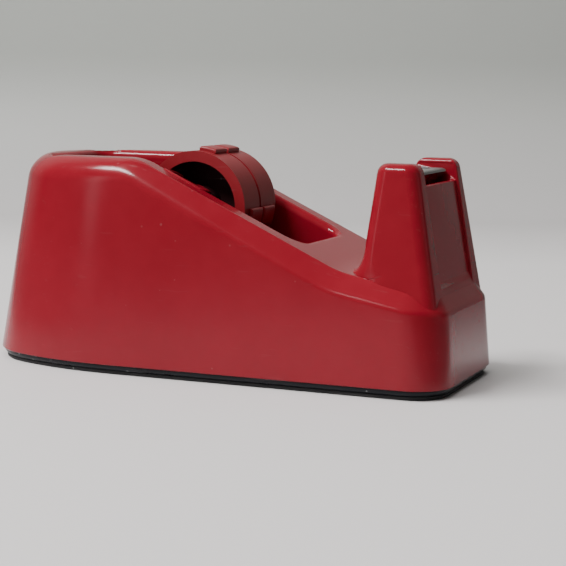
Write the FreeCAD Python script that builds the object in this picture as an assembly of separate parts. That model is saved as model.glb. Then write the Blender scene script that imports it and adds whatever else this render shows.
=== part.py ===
"""Desk tape dispenser for small rolls on a 25 mm core.

Frame: +X points to the cutter, +Y is across the body, +Z is up.
The origin is the middle of the footprint, on the surface that the pad rests on.
All sizes are in millimetres.
"""
import FreeCAD, Part

import math
import os

V = FreeCAD.Vector
Y_AXIS = V(0, 1, 0)

# How tools are laid out
CATCH = 0.1                  # tolerance when an edge is picked by its place
REACH = 5.0                  # how far a cutter runs past the material
WALL_STEEPNESS = 0.5         # faces whose normal rises less than this are walls

# Body footprint, taken at the bottom edge of the moulding
BODY_LENGTH = 108.7
BODY_HALF_WIDTH = 22.1
BODY_BOTTOM = 2.0            # height of the moulding's lower edge over the table
SIDE_RADIUS = 65.8           # long bulging arc between the flat side and the nose
NOSE_RADIUS = 19.0           # round rear end
FRONT_CORNER_RADIUS = 8.4
REAR_LEAN_DEG = 10.3
SIDE_DRAFT_DEG = 1.8
FRONT_DRAFT_DEG = 4.5
SHELL_WALL = 2.2

# Side profile of the body
PLATEAU_Z = 45.6             # flat rear deck
CREASE_X = -14.2             # where the deck turns down
CREASE_BLEND = 9.0
SLOPE = 0.467                # fall of the long rim per millimetre
SADDLE_X = 31.0              # where the rim flattens before the tower
SADDLE_BLEND = 5.0
FRONT_SLOPE = 0.25
SHOULDER = 3.0               # bevel between the top and the sides

# Cutter tower
TOWER_BASE_Z = 16.0
TOWER_TOP_Z = 46.2
TOWER_REAR_TOP_X = 37.9
TOWER_REAR_SLOPE = 0.12
TOWER_FRONT_TOP_X = 46.4
TOWER_FRONT_SLOPE = 0.18
TOWER_TOP_HALF_WIDTH = 16.5
TOWER_SIDE_SLOPE = 0.06
TOWER_REAR_CORNER = 3.0
TOWER_FRONT_CORNER = 2.6
TOWER_TOP_ROUNDING = 1.8
CHANNEL_HALF_WIDTH = 11.6    # between the cheeks, for tape up to 19 mm wide
LANDING_Z = 43.5             # shelf that carries the blade
LANDING_FRONT_X = 42.6
PANEL_HALF_WIDTH = 11.9
PANEL_RECESS = 0.6
PANEL_TOP_Z = 41.7
PANEL_WALL = 1.2
PANEL_BOTTOM_Z = 20.2
SLOT_DEPTH = 6.0             # dark slot under the teeth
SLOT_FLOOR = 1.8             # plastic left under the slot
TOWER_HOLLOW_TOP_Z = PANEL_TOP_Z - SLOT_DEPTH - SLOT_FLOOR
SMALLEST_CORNER = 0.6

# Tape well and the bearings of the hub
WELL_HALF_WIDTH = 12.35
WELL_REAR_X = -38.0
WELL_FRONT_X = 20.5
WELL_FLOOR_Z = 9.2
WELL_CORNER = 3.5
WELL_FLOOR_RADIUS = 12.0
WELL_LIP_ROUNDING = 1.0
WELL_WALL = 1.8
HUB_X = -5.05
HUB_Z = 35.3
BEARING_FACE_Y = 9.3
BEARING_HALF_LENGTH = 4.3
BEARING_RISE = 0.35          # bosses stand a little proud of the rim
BEARING_BOTTOM_Z = 29.0
BEARING_LAP = 1.3            # how far the bosses reach over the rim
BEARING_ROUNDING = 0.3
AXLE_RADIUS = 2.0
AXLE_HALF_LENGTH = 12.2
AXLE_SLOT_END_Y = 12.7
AXLE_CHAMFER = 0.3
SLOT_CLEARANCE = 0.08

# Hub in two halves
HUB_RADIUS = 11.75
HUB_BORE_RADIUS = 9.5
HUB_HALF_WIDTH = 8.55
HUB_GROOVE_WIDTH = 0.9
HUB_GROOVE_DEPTH = 0.6
HUB_WEB = 1.6
HUB_EDGE_ROUNDING = 0.25
WEB_GAP = 0.3
HUB_BOSS_RADIUS = 4.2
HUB_BOSS_END_Y = 7.0
HUB_BORE_CLEARANCE = 0.05
SPIGOT_WALL = 0.9
SPIGOT_LENGTH = 1.5
SPIGOT_CLEARANCE = 0.05
RIB_COUNT = 4
RIB_FIRST_DEG = 80.0
RIB_SPAN_DEG = 20.0
RIB_RADIUS = 12.75
RIB_INSET_Y = 2.2            # ribs stop short of the hub's faces
RIB_ROUNDING = 0.3
RIB_ROOT = 0.5               # how deep the ribs run into the barrel
WEB_ROOT = 0.2

# Base plate, pad and ballast
PAD_THICKNESS = 0.8
PAD_INSET = 0.5
PLATE_INSET = 0.1
PLATE_THICKNESS = 2.0
PLATE_TOP_Z = PAD_THICKNESS + PLATE_THICKNESS
PLATE_FIT = 0.15
PLATE_EDGE_ROUNDING = 0.6
FLOOR_WEIGHT_TOP_Z = 7.0
FLOOR_WEIGHT_REAR_X = -36.0
FLOOR_WEIGHT_FRONT_X = 16.0
FLOOR_WEIGHT_HALF_WIDTH = 11.0
FRONT_WEIGHT_REAR_X = 25.0
FRONT_WEIGHT_FRONT_X = 49.0
FRONT_WEIGHT_HALF_WIDTH = 12.5
FRONT_WEIGHT_TOP_Z = 17.0
WEIGHT_CORNER = 2.0

# Fasteners
SCREW_RADIUS = 1.3
SCREW_HEAD_RADIUS = 2.5
SCREW_HEAD_HEIGHT = 1.3
SCREW_LENGTH = 9.0
SCREW_FIT = 0.12
RECESS_WIDTH = 0.7
RECESS_LENGTH = 2.6
RECESS_DEPTH = 0.6
BOSS_RADIUS = 3.0
BASE_SCREW_TOP_Z = PAD_THICKNESS + SCREW_LENGTH
BASE_SCREW_PLACES = [(-44.0, -8.0), (-44.0, 8.0), (30.0, -16.0), (30.0, 16.0)]
WEIGHT_SCREW_PLACES = [(-28.0, 0.0), (8.0, 0.0), (30.0, 0.0), (44.0, 0.0)]
WEIGHT_SCREW_LENGTH = 4.6

# Cutter blade and its rivets
BLADE_THICKNESS = 0.5
BLADE_REAR_X = 38.6
BLADE_FRONT_X = 44.6
BLADE_SIDE_GAP = 0.2
TOOTH_COUNT = 19
TOOTH_DEPTH = 0.9
RIVET_RADIUS = 0.8
RIVET_HEAD_RADIUS = 1.5
RIVET_HEAD_HEIGHT = 0.35
RIVET_ROUNDING = 0.24
RIVET_DEPTH = 1.6
RIVET_X = 40.4
RIVET_Y = 7.5


def tangent(degrees):
    """Tangent of an angle in degrees."""
    return math.tan(math.radians(degrees))


def box(x0, x1, y0, y1, z0, z1):
    """Axis-aligned block between two corners."""
    return Part.makeBox(x1 - x0, y1 - y0, z1 - z0, V(x0, y0, z0))


def cylinder(radius, start, end):
    """Round bar from one point to another."""
    span = end - start
    return Part.makeCylinder(radius, span.Length, start, span)


def mirrored(point):
    """A point on the other side of the middle plane."""
    return V(point.x, -point.y, point.z)


def polygon_prism(points, y0, y1):
    """Extrude an XZ polygon from y0 to y1."""
    corners = [V(x, y0, z) for x, z in points]
    face = Part.Face(Part.makePolygon(corners + corners[:1]))
    return face.extrude(V(0, y1 - y0, 0))


def edges_where(shape, test):
    """Edges of a shape whose sampled middle point passes the test."""
    chosen = []
    for edge in shape.Edges:
        middle = edge.valueAt((edge.FirstParameter + edge.LastParameter) / 2)
        if test(middle):
            chosen.append(edge)
    return chosen


def single_solid(shape):
    """The one solid of a boolean result, cleaned of split faces."""
    refined = shape.removeSplitter()
    assert len(refined.Solids) == 1, len(refined.Solids)
    return refined.Solids[0]


# ---------------------------------------------------------------- body outline

def body_wire(z, inset=0.0):
    """Plan outline of the body at height z, moved inwards by inset."""
    rise = z - BODY_BOTTOM
    rear_x = -BODY_LENGTH / 2 + rise * tangent(REAR_LEAN_DEG) + inset
    front_x = BODY_LENGTH / 2 - rise * tangent(FRONT_DRAFT_DEG) - inset
    half_w = BODY_HALF_WIDTH - rise * tangent(SIDE_DRAFT_DEG) - inset
    side_r = SIDE_RADIUS - inset
    nose_r = NOSE_RADIUS - inset
    corner_r = FRONT_CORNER_RADIUS - inset
    nose_x = rear_x + nose_r
    side_x = nose_x + math.sqrt((side_r - nose_r) ** 2 - (side_r - half_w) ** 2)
    lean_x = (nose_x - side_x) / (side_r - nose_r)
    lean_y = (side_r - half_w) / (side_r - nose_r)
    join = V(nose_x + nose_r * lean_x, nose_r * lean_y, z)
    half_turn = math.atan2(lean_x, lean_y) / 2
    bulge = V(side_x + side_r * math.sin(half_turn),
              half_w - side_r + side_r * math.cos(half_turn), z)
    side_start = V(side_x, half_w, z)
    corner_start = V(front_x - corner_r, half_w, z)
    corner_end = V(front_x, half_w - corner_r, z)
    diagonal = corner_r * (1 - math.sqrt(0.5))
    corner_middle = V(front_x - diagonal, half_w - diagonal, z)

    edges = [
        Part.Arc(mirrored(join), V(rear_x, 0, z), join).toShape(),
        Part.Arc(join, bulge, side_start).toShape(),
        Part.LineSegment(side_start, corner_start).toShape(),
        Part.Arc(corner_start, corner_middle, corner_end).toShape(),
        Part.LineSegment(corner_end, mirrored(corner_end)).toShape(),
        Part.Arc(mirrored(corner_end), mirrored(corner_middle), mirrored(corner_start)).toShape(),
        Part.LineSegment(mirrored(corner_start), mirrored(side_start)).toShape(),
        Part.Arc(mirrored(side_start), mirrored(bulge), mirrored(join)).toShape(),
    ]
    return Part.Wire(edges)


def body_slab(z0, z1, inset=0.0):
    """Drafted block with the body's outline between two heights."""
    return Part.makeLoft([body_wire(z0, inset), body_wire(z1, inset)], True, True)


def flat_slab(z0, z1, inset):
    """Straight-sided plate with the body's bottom outline."""
    wire = body_wire(BODY_BOTTOM, inset)
    wire.translate(V(0, 0, z0 - BODY_BOTTOM))
    return Part.Face(wire).extrude(V(0, 0, z1 - z0))


def rim_z(x):
    """Height of the long sloping rim at x."""
    return PLATEAU_Z - SLOPE * (x - CREASE_X)


def profile_prism(drop, half_width):
    """Everything under the side profile, lowered by drop, as a wide prism."""
    end = BODY_LENGTH
    saddle_z = rim_z(SADDLE_X)
    front_z = saddle_z - FRONT_SLOPE * (end - SADDLE_X)
    points = [(-end, -end), (-end, PLATEAU_Z - drop), (CREASE_X, PLATEAU_Z - drop),
              (SADDLE_X, saddle_z - drop), (end, front_z - drop), (end, -end)]
    prism = polygon_prism(points, -half_width, half_width)
    crease = edges_where(prism, lambda p: abs(p.x - CREASE_X) < CATCH and abs(p.y) < CATCH)
    saddle = edges_where(prism, lambda p: abs(p.x - SADDLE_X) < CATCH and abs(p.y) < CATCH)
    return prism.makeFillet(CREASE_BLEND, crease).makeFillet(SADDLE_BLEND, saddle)


def top_loop(body):
    """Edges where the body's walls meet its top faces."""
    chosen = []
    for edge in body.Edges:
        walls = [face for face in body.ancestorsOfType(edge, Part.Face)
                 if abs(face.normalAt(0, 0).z) < WALL_STEEPNESS]
        if edge.BoundBox.ZMax > BODY_BOTTOM + REACH and len(walls) == 1:
            chosen.append(edge)
    return chosen


def lower_body():
    """Solid body under the rim, with its shoulder bevel, without the tower."""
    slab = body_slab(BODY_BOTTOM, PLATEAU_Z + REACH)
    body = single_solid(slab.common(profile_prism(0, BODY_LENGTH)))
    return single_solid(body.makeChamfer(SHOULDER, top_loop(body)))


# ----------------------------------------------------------------------- tower

def tower_corner(x, y, radius, sign_x, sign_y, clockwise):
    """Start, middle and end of one rounded corner of the tower."""
    cut = radius * (1 - math.sqrt(0.5))
    along_x = (x - sign_x * radius, y)
    along_y = (x, y - sign_y * radius)
    ends = (along_x, along_y) if clockwise else (along_y, along_x)
    return ends[0], (x - sign_x * cut, y - sign_y * cut), ends[1]


def tower_wire(z, inset=0.0):
    """Rounded four-sided section of the tower at height z."""
    fall = TOWER_TOP_Z - z
    rear = TOWER_REAR_TOP_X - TOWER_REAR_SLOPE * fall + inset
    front = TOWER_FRONT_TOP_X + TOWER_FRONT_SLOPE * fall - inset
    half_w = TOWER_TOP_HALF_WIDTH + TOWER_SIDE_SLOPE * fall - inset
    rear_r = max(TOWER_REAR_CORNER - inset, SMALLEST_CORNER)
    front_r = max(TOWER_FRONT_CORNER - inset, SMALLEST_CORNER)

    corners = [tower_corner(front, half_w, front_r, 1, 1, True),
               tower_corner(front, -half_w, front_r, 1, -1, False),
               tower_corner(rear, -half_w, rear_r, -1, -1, True),
               tower_corner(rear, half_w, rear_r, -1, 1, False)]
    turns = [[V(x, y, z) for x, y in corner] for corner in corners]
    edges = []
    for index, (start, middle, end) in enumerate(turns):
        following = turns[(index + 1) % len(turns)][0]
        edges.append(Part.Arc(start, middle, end).toShape())
        edges.append(Part.LineSegment(end, following).toShape())
    return Part.Wire(edges)


def tower_block(inset, top_z):
    """Tapered tower from inside the body up to a given height."""
    return Part.makeLoft([tower_wire(TOWER_BASE_Z, inset), tower_wire(top_z, inset)], True, True)


def front_face_x(z):
    """Front plane of the tower's ribs at height z."""
    return TOWER_FRONT_TOP_X + TOWER_FRONT_SLOPE * (TOWER_TOP_Z - z)


def outer_body():
    """Solid body and tower together, rounded where they meet."""
    body = lower_body()
    tower = tower_block(0, TOWER_TOP_Z)
    tops = edges_where(tower, lambda p: p.z > TOWER_TOP_Z - CATCH)
    tower = tower.makeFillet(TOWER_TOP_ROUNDING, tops)
    return single_solid(body.fuse(tower))


def front_panel_cutter():
    """Shallow recess between the two front ribs."""
    top_z = TOWER_TOP_Z + REACH
    ahead = front_face_x(PANEL_BOTTOM_Z) + REACH
    points = [(ahead, PANEL_BOTTOM_Z), (front_face_x(PANEL_BOTTOM_Z) - PANEL_RECESS, PANEL_BOTTOM_Z),
              (front_face_x(top_z) - PANEL_RECESS, top_z), (ahead, top_z)]
    return polygon_prism(points, -PANEL_HALF_WIDTH, PANEL_HALF_WIDTH)


def channel_cutter():
    """Space between the cheeks, over the blade shelf, the teeth and the panel."""
    ahead = front_face_x(TOWER_TOP_Z) + REACH
    over_shelf = box(TOWER_REAR_TOP_X - REACH, ahead, -CHANNEL_HALF_WIDTH, CHANNEL_HALF_WIDTH,
                     LANDING_Z, TOWER_TOP_Z + REACH)
    panel_back = front_face_x(PANEL_TOP_Z) - PANEL_RECESS - PANEL_WALL
    over_panel = box(LANDING_FRONT_X, ahead, -CHANNEL_HALF_WIDTH, CHANNEL_HALF_WIDTH,
                     PANEL_TOP_Z, TOWER_TOP_Z + REACH)
    slot = box(LANDING_FRONT_X, panel_back, -CHANNEL_HALF_WIDTH, CHANNEL_HALF_WIDTH,
               PANEL_TOP_Z - SLOT_DEPTH, TOWER_TOP_Z + REACH)
    return over_shelf.fuse([over_panel, slot])


# ------------------------------------------------------------------- tape well

def well_block(grow):
    """Tape well, or its walls when grown, up to above the rim."""
    rear = WELL_REAR_X - grow
    front = WELL_FRONT_X + grow
    floor = WELL_FLOOR_Z - grow
    half_w = WELL_HALF_WIDTH + grow
    top = PLATEAU_Z + REACH
    block = box(rear, front, -half_w, half_w, floor, top)
    ends = edges_where(block, lambda p: abs(p.z - floor) < CATCH and abs(p.y) < CATCH)
    block = block.makeFillet(WELL_FLOOR_RADIUS + grow, ends)
    sides = edges_where(block, lambda p: abs(p.y) > half_w - CATCH and p.z < top - CATCH)
    return block.makeFillet(WELL_CORNER + grow, sides)


def bearing_boss():
    """Thick pad on the +Y well wall, with its top just over the rim."""
    rear = HUB_X - BEARING_HALF_LENGTH
    front = HUB_X + BEARING_HALF_LENGTH
    low_top = rim_z(front) + BEARING_RISE
    points = [(rear, BEARING_BOTTOM_Z), (rear, rim_z(rear) + BEARING_RISE),
              (front, low_top), (front, BEARING_BOTTOM_Z)]
    boss = polygon_prism(points, BEARING_FACE_Y, WELL_HALF_WIDTH + BEARING_LAP)
    tops = edges_where(boss, lambda p: p.z > low_top - CATCH)
    return boss.makeFillet(BEARING_ROUNDING, tops)


def axle_slot():
    """Open-topped slot in the +Y boss that the axle drops into."""
    radius = AXLE_RADIUS + SLOT_CLEARANCE
    inner = BEARING_FACE_Y - REACH
    seat = cylinder(radius, V(HUB_X, inner, HUB_Z), V(HUB_X, AXLE_SLOT_END_Y, HUB_Z))
    shaft = box(HUB_X - radius, HUB_X + radius, inner, AXLE_SLOT_END_Y, HUB_Z,
                PLATEAU_Z + REACH)
    return seat.fuse(shaft)


def both_sides(shape):
    """A shape and its mirror image across the middle plane."""
    return [shape, shape.mirror(V(0, 0, 0), Y_AXIS)]


# ------------------------------------------------------------------ body shell

def screw_posts(radius, bottom, top):
    """Round posts, or the holes in them, at the base screws' places."""
    return [cylinder(radius, V(x, y, bottom), V(x, y, top)) for x, y in BASE_SCREW_PLACES]


def shell_hollow():
    """Space inside the moulding, with the well and the posts left standing."""
    low = body_slab(BODY_BOTTOM - CATCH, PLATEAU_Z, SHELL_WALL)
    low = low.common(profile_prism(SHELL_WALL, BODY_LENGTH))
    high = tower_block(SHELL_WALL, TOWER_HOLLOW_TOP_Z)
    posts = screw_posts(BOSS_RADIUS, PLATE_TOP_Z, PLATEAU_Z)
    return low.fuse(high).cut(well_block(WELL_WALL).fuse(posts))


def body_shell():
    """One-piece moulding: walls, well, bearings, tower and posts."""
    shell = outer_body().cut(shell_hollow())
    shell = shell.cut(well_block(0))
    shell = single_solid(shell)
    lip = edges_where(shell, is_well_lip)
    shell = shell.makeFillet(WELL_LIP_ROUNDING, lip)
    shell = shell.fuse(both_sides(bearing_boss()))
    cutters = both_sides(axle_slot()) + [channel_cutter(), front_panel_cutter()]
    cutters += screw_posts(SCREW_RADIUS, BODY_BOTTOM, BASE_SCREW_TOP_Z)
    cutters += blade_rivet_holes()
    return single_solid(shell.cut(cutters))


def is_well_lip(point):
    """True on the top edge of the well, where its walls meet the rim."""
    along = WELL_REAR_X - CATCH < point.x < WELL_FRONT_X + CATCH
    across = abs(point.y) < WELL_HALF_WIDTH + CATCH
    top = min(PLATEAU_Z, rim_z(point.x))
    return along and across and abs(point.z - top) < WELL_LIP_ROUNDING


# ------------------------------------------------------------------------- hub

def rib(angle, y0, y1):
    """Raised grip rib on the hub, from y0 to y1."""
    half = math.radians(RIB_SPAN_DEG) / 2
    root = HUB_RADIUS - RIB_ROOT
    points = []
    for turn, radius in ((-half, root), (-half, RIB_RADIUS), (half, RIB_RADIUS), (half, root)):
        points.append((HUB_X + radius * math.cos(angle + turn),
                       HUB_Z + radius * math.sin(angle + turn)))
    block = polygon_prism(points, y0, y1)
    tops = edges_where(block, lambda p: math.hypot(p.x - HUB_X, p.z - HUB_Z) > HUB_RADIUS + RIB_ROUNDING)
    return block.makeFillet(RIB_ROUNDING, tops)


def hub_ring(outer, inner, y0, y1):
    """Ring about the hub's axis."""
    return (cylinder(outer, V(HUB_X, y0, HUB_Z), V(HUB_X, y1, HUB_Z))
            .cut(cylinder(inner, V(HUB_X, y0 - REACH, HUB_Z), V(HUB_X, y1 + REACH, HUB_Z))))


def hub_half(with_spigot):
    """Half of the hub on the +Y side: barrel, web, boss and ribs."""
    rim = hub_ring(HUB_RADIUS, HUB_BORE_RADIUS, 0, HUB_HALF_WIDTH)
    mouth = edges_where(rim, lambda p: abs(p.y - HUB_HALF_WIDTH) < CATCH)
    rim = rim.makeFillet(HUB_EDGE_ROUNDING, mouth)
    bore = AXLE_RADIUS + HUB_BORE_CLEARANCE
    web_start = 0 if with_spigot else SPIGOT_LENGTH + WEB_GAP
    web = hub_ring(HUB_BORE_RADIUS + WEB_ROOT, bore, web_start, web_start + HUB_WEB)
    boss = hub_ring(HUB_BOSS_RADIUS, bore, web_start, HUB_BOSS_END_Y)
    first = math.radians(RIB_FIRST_DEG)
    ribs = [rib(first + 2 * math.pi * i / RIB_COUNT, HUB_GROOVE_WIDTH / 2, HUB_HALF_WIDTH - RIB_INSET_Y)
            for i in range(RIB_COUNT)]
    half = rim.fuse([web, boss] + ribs)
    groove = hub_ring(HUB_RADIUS + REACH, HUB_RADIUS - HUB_GROOVE_DEPTH, -HUB_GROOVE_WIDTH / 2,
                      HUB_GROOVE_WIDTH / 2)
    half = half.cut(groove)
    if with_spigot:
        outer = HUB_BORE_RADIUS - SPIGOT_CLEARANCE
        spigot = hub_ring(outer, outer - SPIGOT_WALL, -SPIGOT_LENGTH, HUB_WEB / 2)
        half = half.fuse(spigot)
    return single_solid(half)


def hub_near_half():
    """Half on the -Y side, without the spigot."""
    return hub_half(False).mirror(V(0, 0, 0), Y_AXIS)


def hub_axle():
    """Steel pin that rests in the two open slots."""
    pin = cylinder(AXLE_RADIUS, V(HUB_X, -AXLE_HALF_LENGTH, HUB_Z), V(HUB_X, AXLE_HALF_LENGTH, HUB_Z))
    return pin.makeChamfer(AXLE_CHAMFER, [e for e in pin.Edges if e.Closed])


# ---------------------------------------------------------- base, pad, ballast

def screw(x, y, head_z, length):
    """Pan-head screw pointing up, with a cross recess underneath."""
    head = cylinder(SCREW_HEAD_RADIUS, V(x, y, head_z), V(x, y, head_z + SCREW_HEAD_HEIGHT))
    shank = cylinder(SCREW_RADIUS, V(x, y, head_z), V(x, y, head_z + length))
    depth = head_z + RECESS_DEPTH
    wide = box(x - RECESS_LENGTH / 2, x + RECESS_LENGTH / 2, y - RECESS_WIDTH / 2,
               y + RECESS_WIDTH / 2, head_z - REACH, depth)
    deep = box(x - RECESS_WIDTH / 2, x + RECESS_WIDTH / 2, y - RECESS_LENGTH / 2,
               y + RECESS_LENGTH / 2, head_z - REACH, depth)
    return single_solid(head.fuse(shank).cut([wide, deep]))


def screw_holes(places):
    """Through holes and counterbores in the base plate."""
    holes = []
    for x, y in places:
        holes.append(cylinder(SCREW_RADIUS, V(x, y, 0), V(x, y, PLATE_TOP_Z + REACH)))
        holes.append(cylinder(SCREW_HEAD_RADIUS + SCREW_FIT, V(x, y, 0),
                              V(x, y, PAD_THICKNESS + SCREW_HEAD_HEIGHT)))
    return holes


def base_plate():
    """Black bottom cover with a raised middle that locates in the shell."""
    flange = flat_slab(PAD_THICKNESS, BODY_BOTTOM, PLATE_INSET)
    lower = edges_where(flange, lambda p: abs(p.z - PAD_THICKNESS) < CATCH)
    flange = flange.makeFillet(PLATE_EDGE_ROUNDING, lower)
    middle = flat_slab(PAD_THICKNESS, PLATE_TOP_Z, SHELL_WALL + PLATE_FIT)
    plate = flange.fuse(middle)
    return single_solid(plate.cut(screw_holes(BASE_SCREW_PLACES + WEIGHT_SCREW_PLACES)))


def anti_slip_pad():
    """Thin rubber sheet under the base plate."""
    return flat_slab(0, PAD_THICKNESS, PLATE_INSET + PLATE_EDGE_ROUNDING + PAD_INSET)


def weight(rear, front, half_w, top):
    """Ballast block on the base plate, drilled for its screws."""
    block = box(rear, front, -half_w, half_w, PLATE_TOP_Z, top)
    upright = [e for e in block.Edges if e.BoundBox.ZLength > CATCH]
    block = block.makeFillet(WEIGHT_CORNER, upright)
    holes = [cylinder(SCREW_RADIUS, V(x, y, 0), V(x, y, PAD_THICKNESS + WEIGHT_SCREW_LENGTH))
             for x, y in WEIGHT_SCREW_PLACES]
    return block.cut(holes)


# ----------------------------------------------------------------------- blade

def blade_rivet_holes():
    """Holes in the shelf for the blade's rivets."""
    bottom = LANDING_Z - RIVET_DEPTH
    return [cylinder(RIVET_RADIUS, V(RIVET_X, side * RIVET_Y, bottom),
                     V(RIVET_X, side * RIVET_Y, LANDING_Z + BLADE_THICKNESS)) for side in (-1, 1)]


def cutter_blade():
    """Flat steel strip with a row of teeth along its front edge."""
    half_w = CHANNEL_HALF_WIDTH - BLADE_SIDE_GAP
    pitch = 2 * half_w / TOOTH_COUNT
    root_x = BLADE_FRONT_X - TOOTH_DEPTH
    corners = [V(BLADE_REAR_X, half_w, LANDING_Z), V(BLADE_REAR_X, -half_w, LANDING_Z)]
    for i in range(TOOTH_COUNT):
        start = -half_w + i * pitch
        corners.append(V(root_x, start, LANDING_Z))
        corners.append(V(BLADE_FRONT_X, start + pitch / 2, LANDING_Z))
    corners.append(V(root_x, half_w, LANDING_Z))
    face = Part.Face(Part.makePolygon(corners + corners[:1]))
    strip = face.extrude(V(0, 0, BLADE_THICKNESS))
    return single_solid(strip.cut(blade_rivet_holes()))


def blade_rivet(side):
    """Small domed rivet through the blade into the shelf."""
    top = LANDING_Z + BLADE_THICKNESS
    x, y = RIVET_X, side * RIVET_Y
    shank = cylinder(RIVET_RADIUS, V(x, y, LANDING_Z - RIVET_DEPTH), V(x, y, top))
    head = cylinder(RIVET_HEAD_RADIUS, V(x, y, top), V(x, y, top + RIVET_HEAD_HEIGHT))
    rim = [e for e in head.Edges if e.Closed and e.Vertexes[0].Z > top + RIVET_ROUNDING]
    head = head.makeFillet(RIVET_ROUNDING, rim)
    return single_solid(shank.fuse(head))


def build():
    """Write every node as its own STEP file."""
    os.makedirs("parts", exist_ok=True)
    base_screws = [screw(x, y, PAD_THICKNESS, SCREW_LENGTH) for x, y in BASE_SCREW_PLACES]
    weight_screws = [screw(x, y, PAD_THICKNESS, WEIGHT_SCREW_LENGTH) for x, y in WEIGHT_SCREW_PLACES]
    nodes = {
        "body_shell": body_shell(),
        "base_plate": base_plate(),
        "anti_slip_pad": anti_slip_pad(),
        "floor_weight": weight(FLOOR_WEIGHT_REAR_X, FLOOR_WEIGHT_FRONT_X,
                               FLOOR_WEIGHT_HALF_WIDTH, FLOOR_WEIGHT_TOP_Z),
        "front_weight": weight(FRONT_WEIGHT_REAR_X, FRONT_WEIGHT_FRONT_X,
                               FRONT_WEIGHT_HALF_WIDTH, FRONT_WEIGHT_TOP_Z),
        "base_screws": Part.makeCompound(base_screws),
        "weight_screws": Part.makeCompound(weight_screws),
        "cutter_blade": cutter_blade(),
        "blade_rivets": Part.makeCompound([blade_rivet(-1), blade_rivet(1)]),
        "hub_axle": hub_axle(),
        "hub_far_half": hub_half(True),
        "hub_near_half": hub_near_half(),
    }
    for name, shape in nodes.items():
        print(name, shape.ShapeType, len(shape.Solids), round(shape.Volume, 1), shape.isValid())
        shape.exportStep(os.path.join("parts", name + ".step"))


build()
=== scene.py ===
"""Looks of a small desk tape dispenser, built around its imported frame.

The moulding, the hub, the blade and the base are modelled here in fine detail.
Lengths are in millimetres while a piece is modelled and in metres once it is finished.
"""

import logging
import math
from dataclasses import dataclass, field
from enum import Enum
from typing import Callable, Iterable, Sequence

import bmesh
import bpy
from mathutils import Matrix, Vector

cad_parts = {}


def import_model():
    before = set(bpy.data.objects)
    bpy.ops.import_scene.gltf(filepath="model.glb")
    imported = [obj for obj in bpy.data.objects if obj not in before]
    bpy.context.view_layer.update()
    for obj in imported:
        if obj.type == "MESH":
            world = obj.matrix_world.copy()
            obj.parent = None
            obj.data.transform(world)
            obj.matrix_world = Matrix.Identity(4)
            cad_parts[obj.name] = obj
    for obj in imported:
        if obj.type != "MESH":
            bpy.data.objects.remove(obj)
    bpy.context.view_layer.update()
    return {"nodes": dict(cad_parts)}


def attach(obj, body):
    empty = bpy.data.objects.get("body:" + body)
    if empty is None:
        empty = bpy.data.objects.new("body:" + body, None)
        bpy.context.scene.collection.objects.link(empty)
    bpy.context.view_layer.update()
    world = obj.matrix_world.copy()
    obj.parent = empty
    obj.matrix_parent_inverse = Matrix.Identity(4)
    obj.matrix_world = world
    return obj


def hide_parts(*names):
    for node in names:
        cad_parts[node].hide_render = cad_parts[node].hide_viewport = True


LOG = logging.getLogger("tape_dispenser")
MM = 0.001
DOUBLE_MM = 1e-4
MERGE_MM = 0.03
SLIVER_MM = 0.01
ROUND_ABOVE_DEG = 32.0
CREASE_ABOVE_DEG = 9.0
NORMAL_WEIGHT = 50
KEY_DIGITS = 5


class Operation(Enum):
    """How one solid is combined with another."""

    CUT = "DIFFERENCE"
    JOIN = "UNION"


class Rounding(Enum):
    """How the edges that a piece rounds are chosen."""

    BY_ANGLE = "ANGLE"
    BY_WEIGHT = "WEIGHT"


class Side(Enum):
    """The two sides of the body, by the sign of Y."""

    NEAR = -1
    FAR = 1


# ------------------------------------------------------------------ mesh tools


def smooth_step(low: float, high: float, value: float) -> float:
    """Rise smoothly from 0 at low to 1 at high.

    Args:
        low: Value where the rise begins.
        high: Value where the rise ends.
        value: Where to evaluate it.

    Returns:
        A share from 0 to 1.
    """
    share = min(max((value - low) / (high - low), 0.0), 1.0)
    return share * share * (3 - 2 * share)


def arc_points(centre: Vector, radius: float, start: float, end: float, steps: int) -> list[Vector]:
    """Points along an arc in the plan, without its first point.

    Args:
        centre: Centre of the arc.
        radius: Radius of the arc.
        start: First angle in radians.
        end: Last angle in radians.
        steps: Number of points.

    Returns:
        The points, in order.
    """
    angles = [start + (end - start) * (i + 1) / steps for i in range(steps)]
    return [centre + radius * Vector((math.cos(a), math.sin(a))) for a in angles]


def quarter_turn(centre: Vector, radius: float, quarter: int, steps: int) -> list[Vector]:
    """Points along a quarter of a circle in the plan, both ends included.

    Args:
        centre: Centre of the circle.
        radius: Radius of the circle.
        quarter: How many quarter turns from X it starts.
        steps: Number of spans.

    Returns:
        The points, in order.
    """
    start = quarter * math.pi / 2
    first = centre + radius * Vector((math.cos(start), math.sin(start)))
    return [first] + arc_points(centre, radius, start, start + math.pi / 2, steps)


def corner_curve(before: Vector, corner: Vector, after: Vector, steps: int) -> list[Vector]:
    """Round a corner with a curve that is tangent to both sides.

    Args:
        before: Where the curve leaves the first side.
        corner: The sharp corner.
        after: Where the curve meets the second side.
        steps: Number of spans.

    Returns:
        Points from before to after, both included.
    """
    points = []
    for i in range(steps + 1):
        t = i / steps
        points.append((1 - t) ** 2 * before + 2 * t * (1 - t) * corner + t * t * after)
    return points


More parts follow.
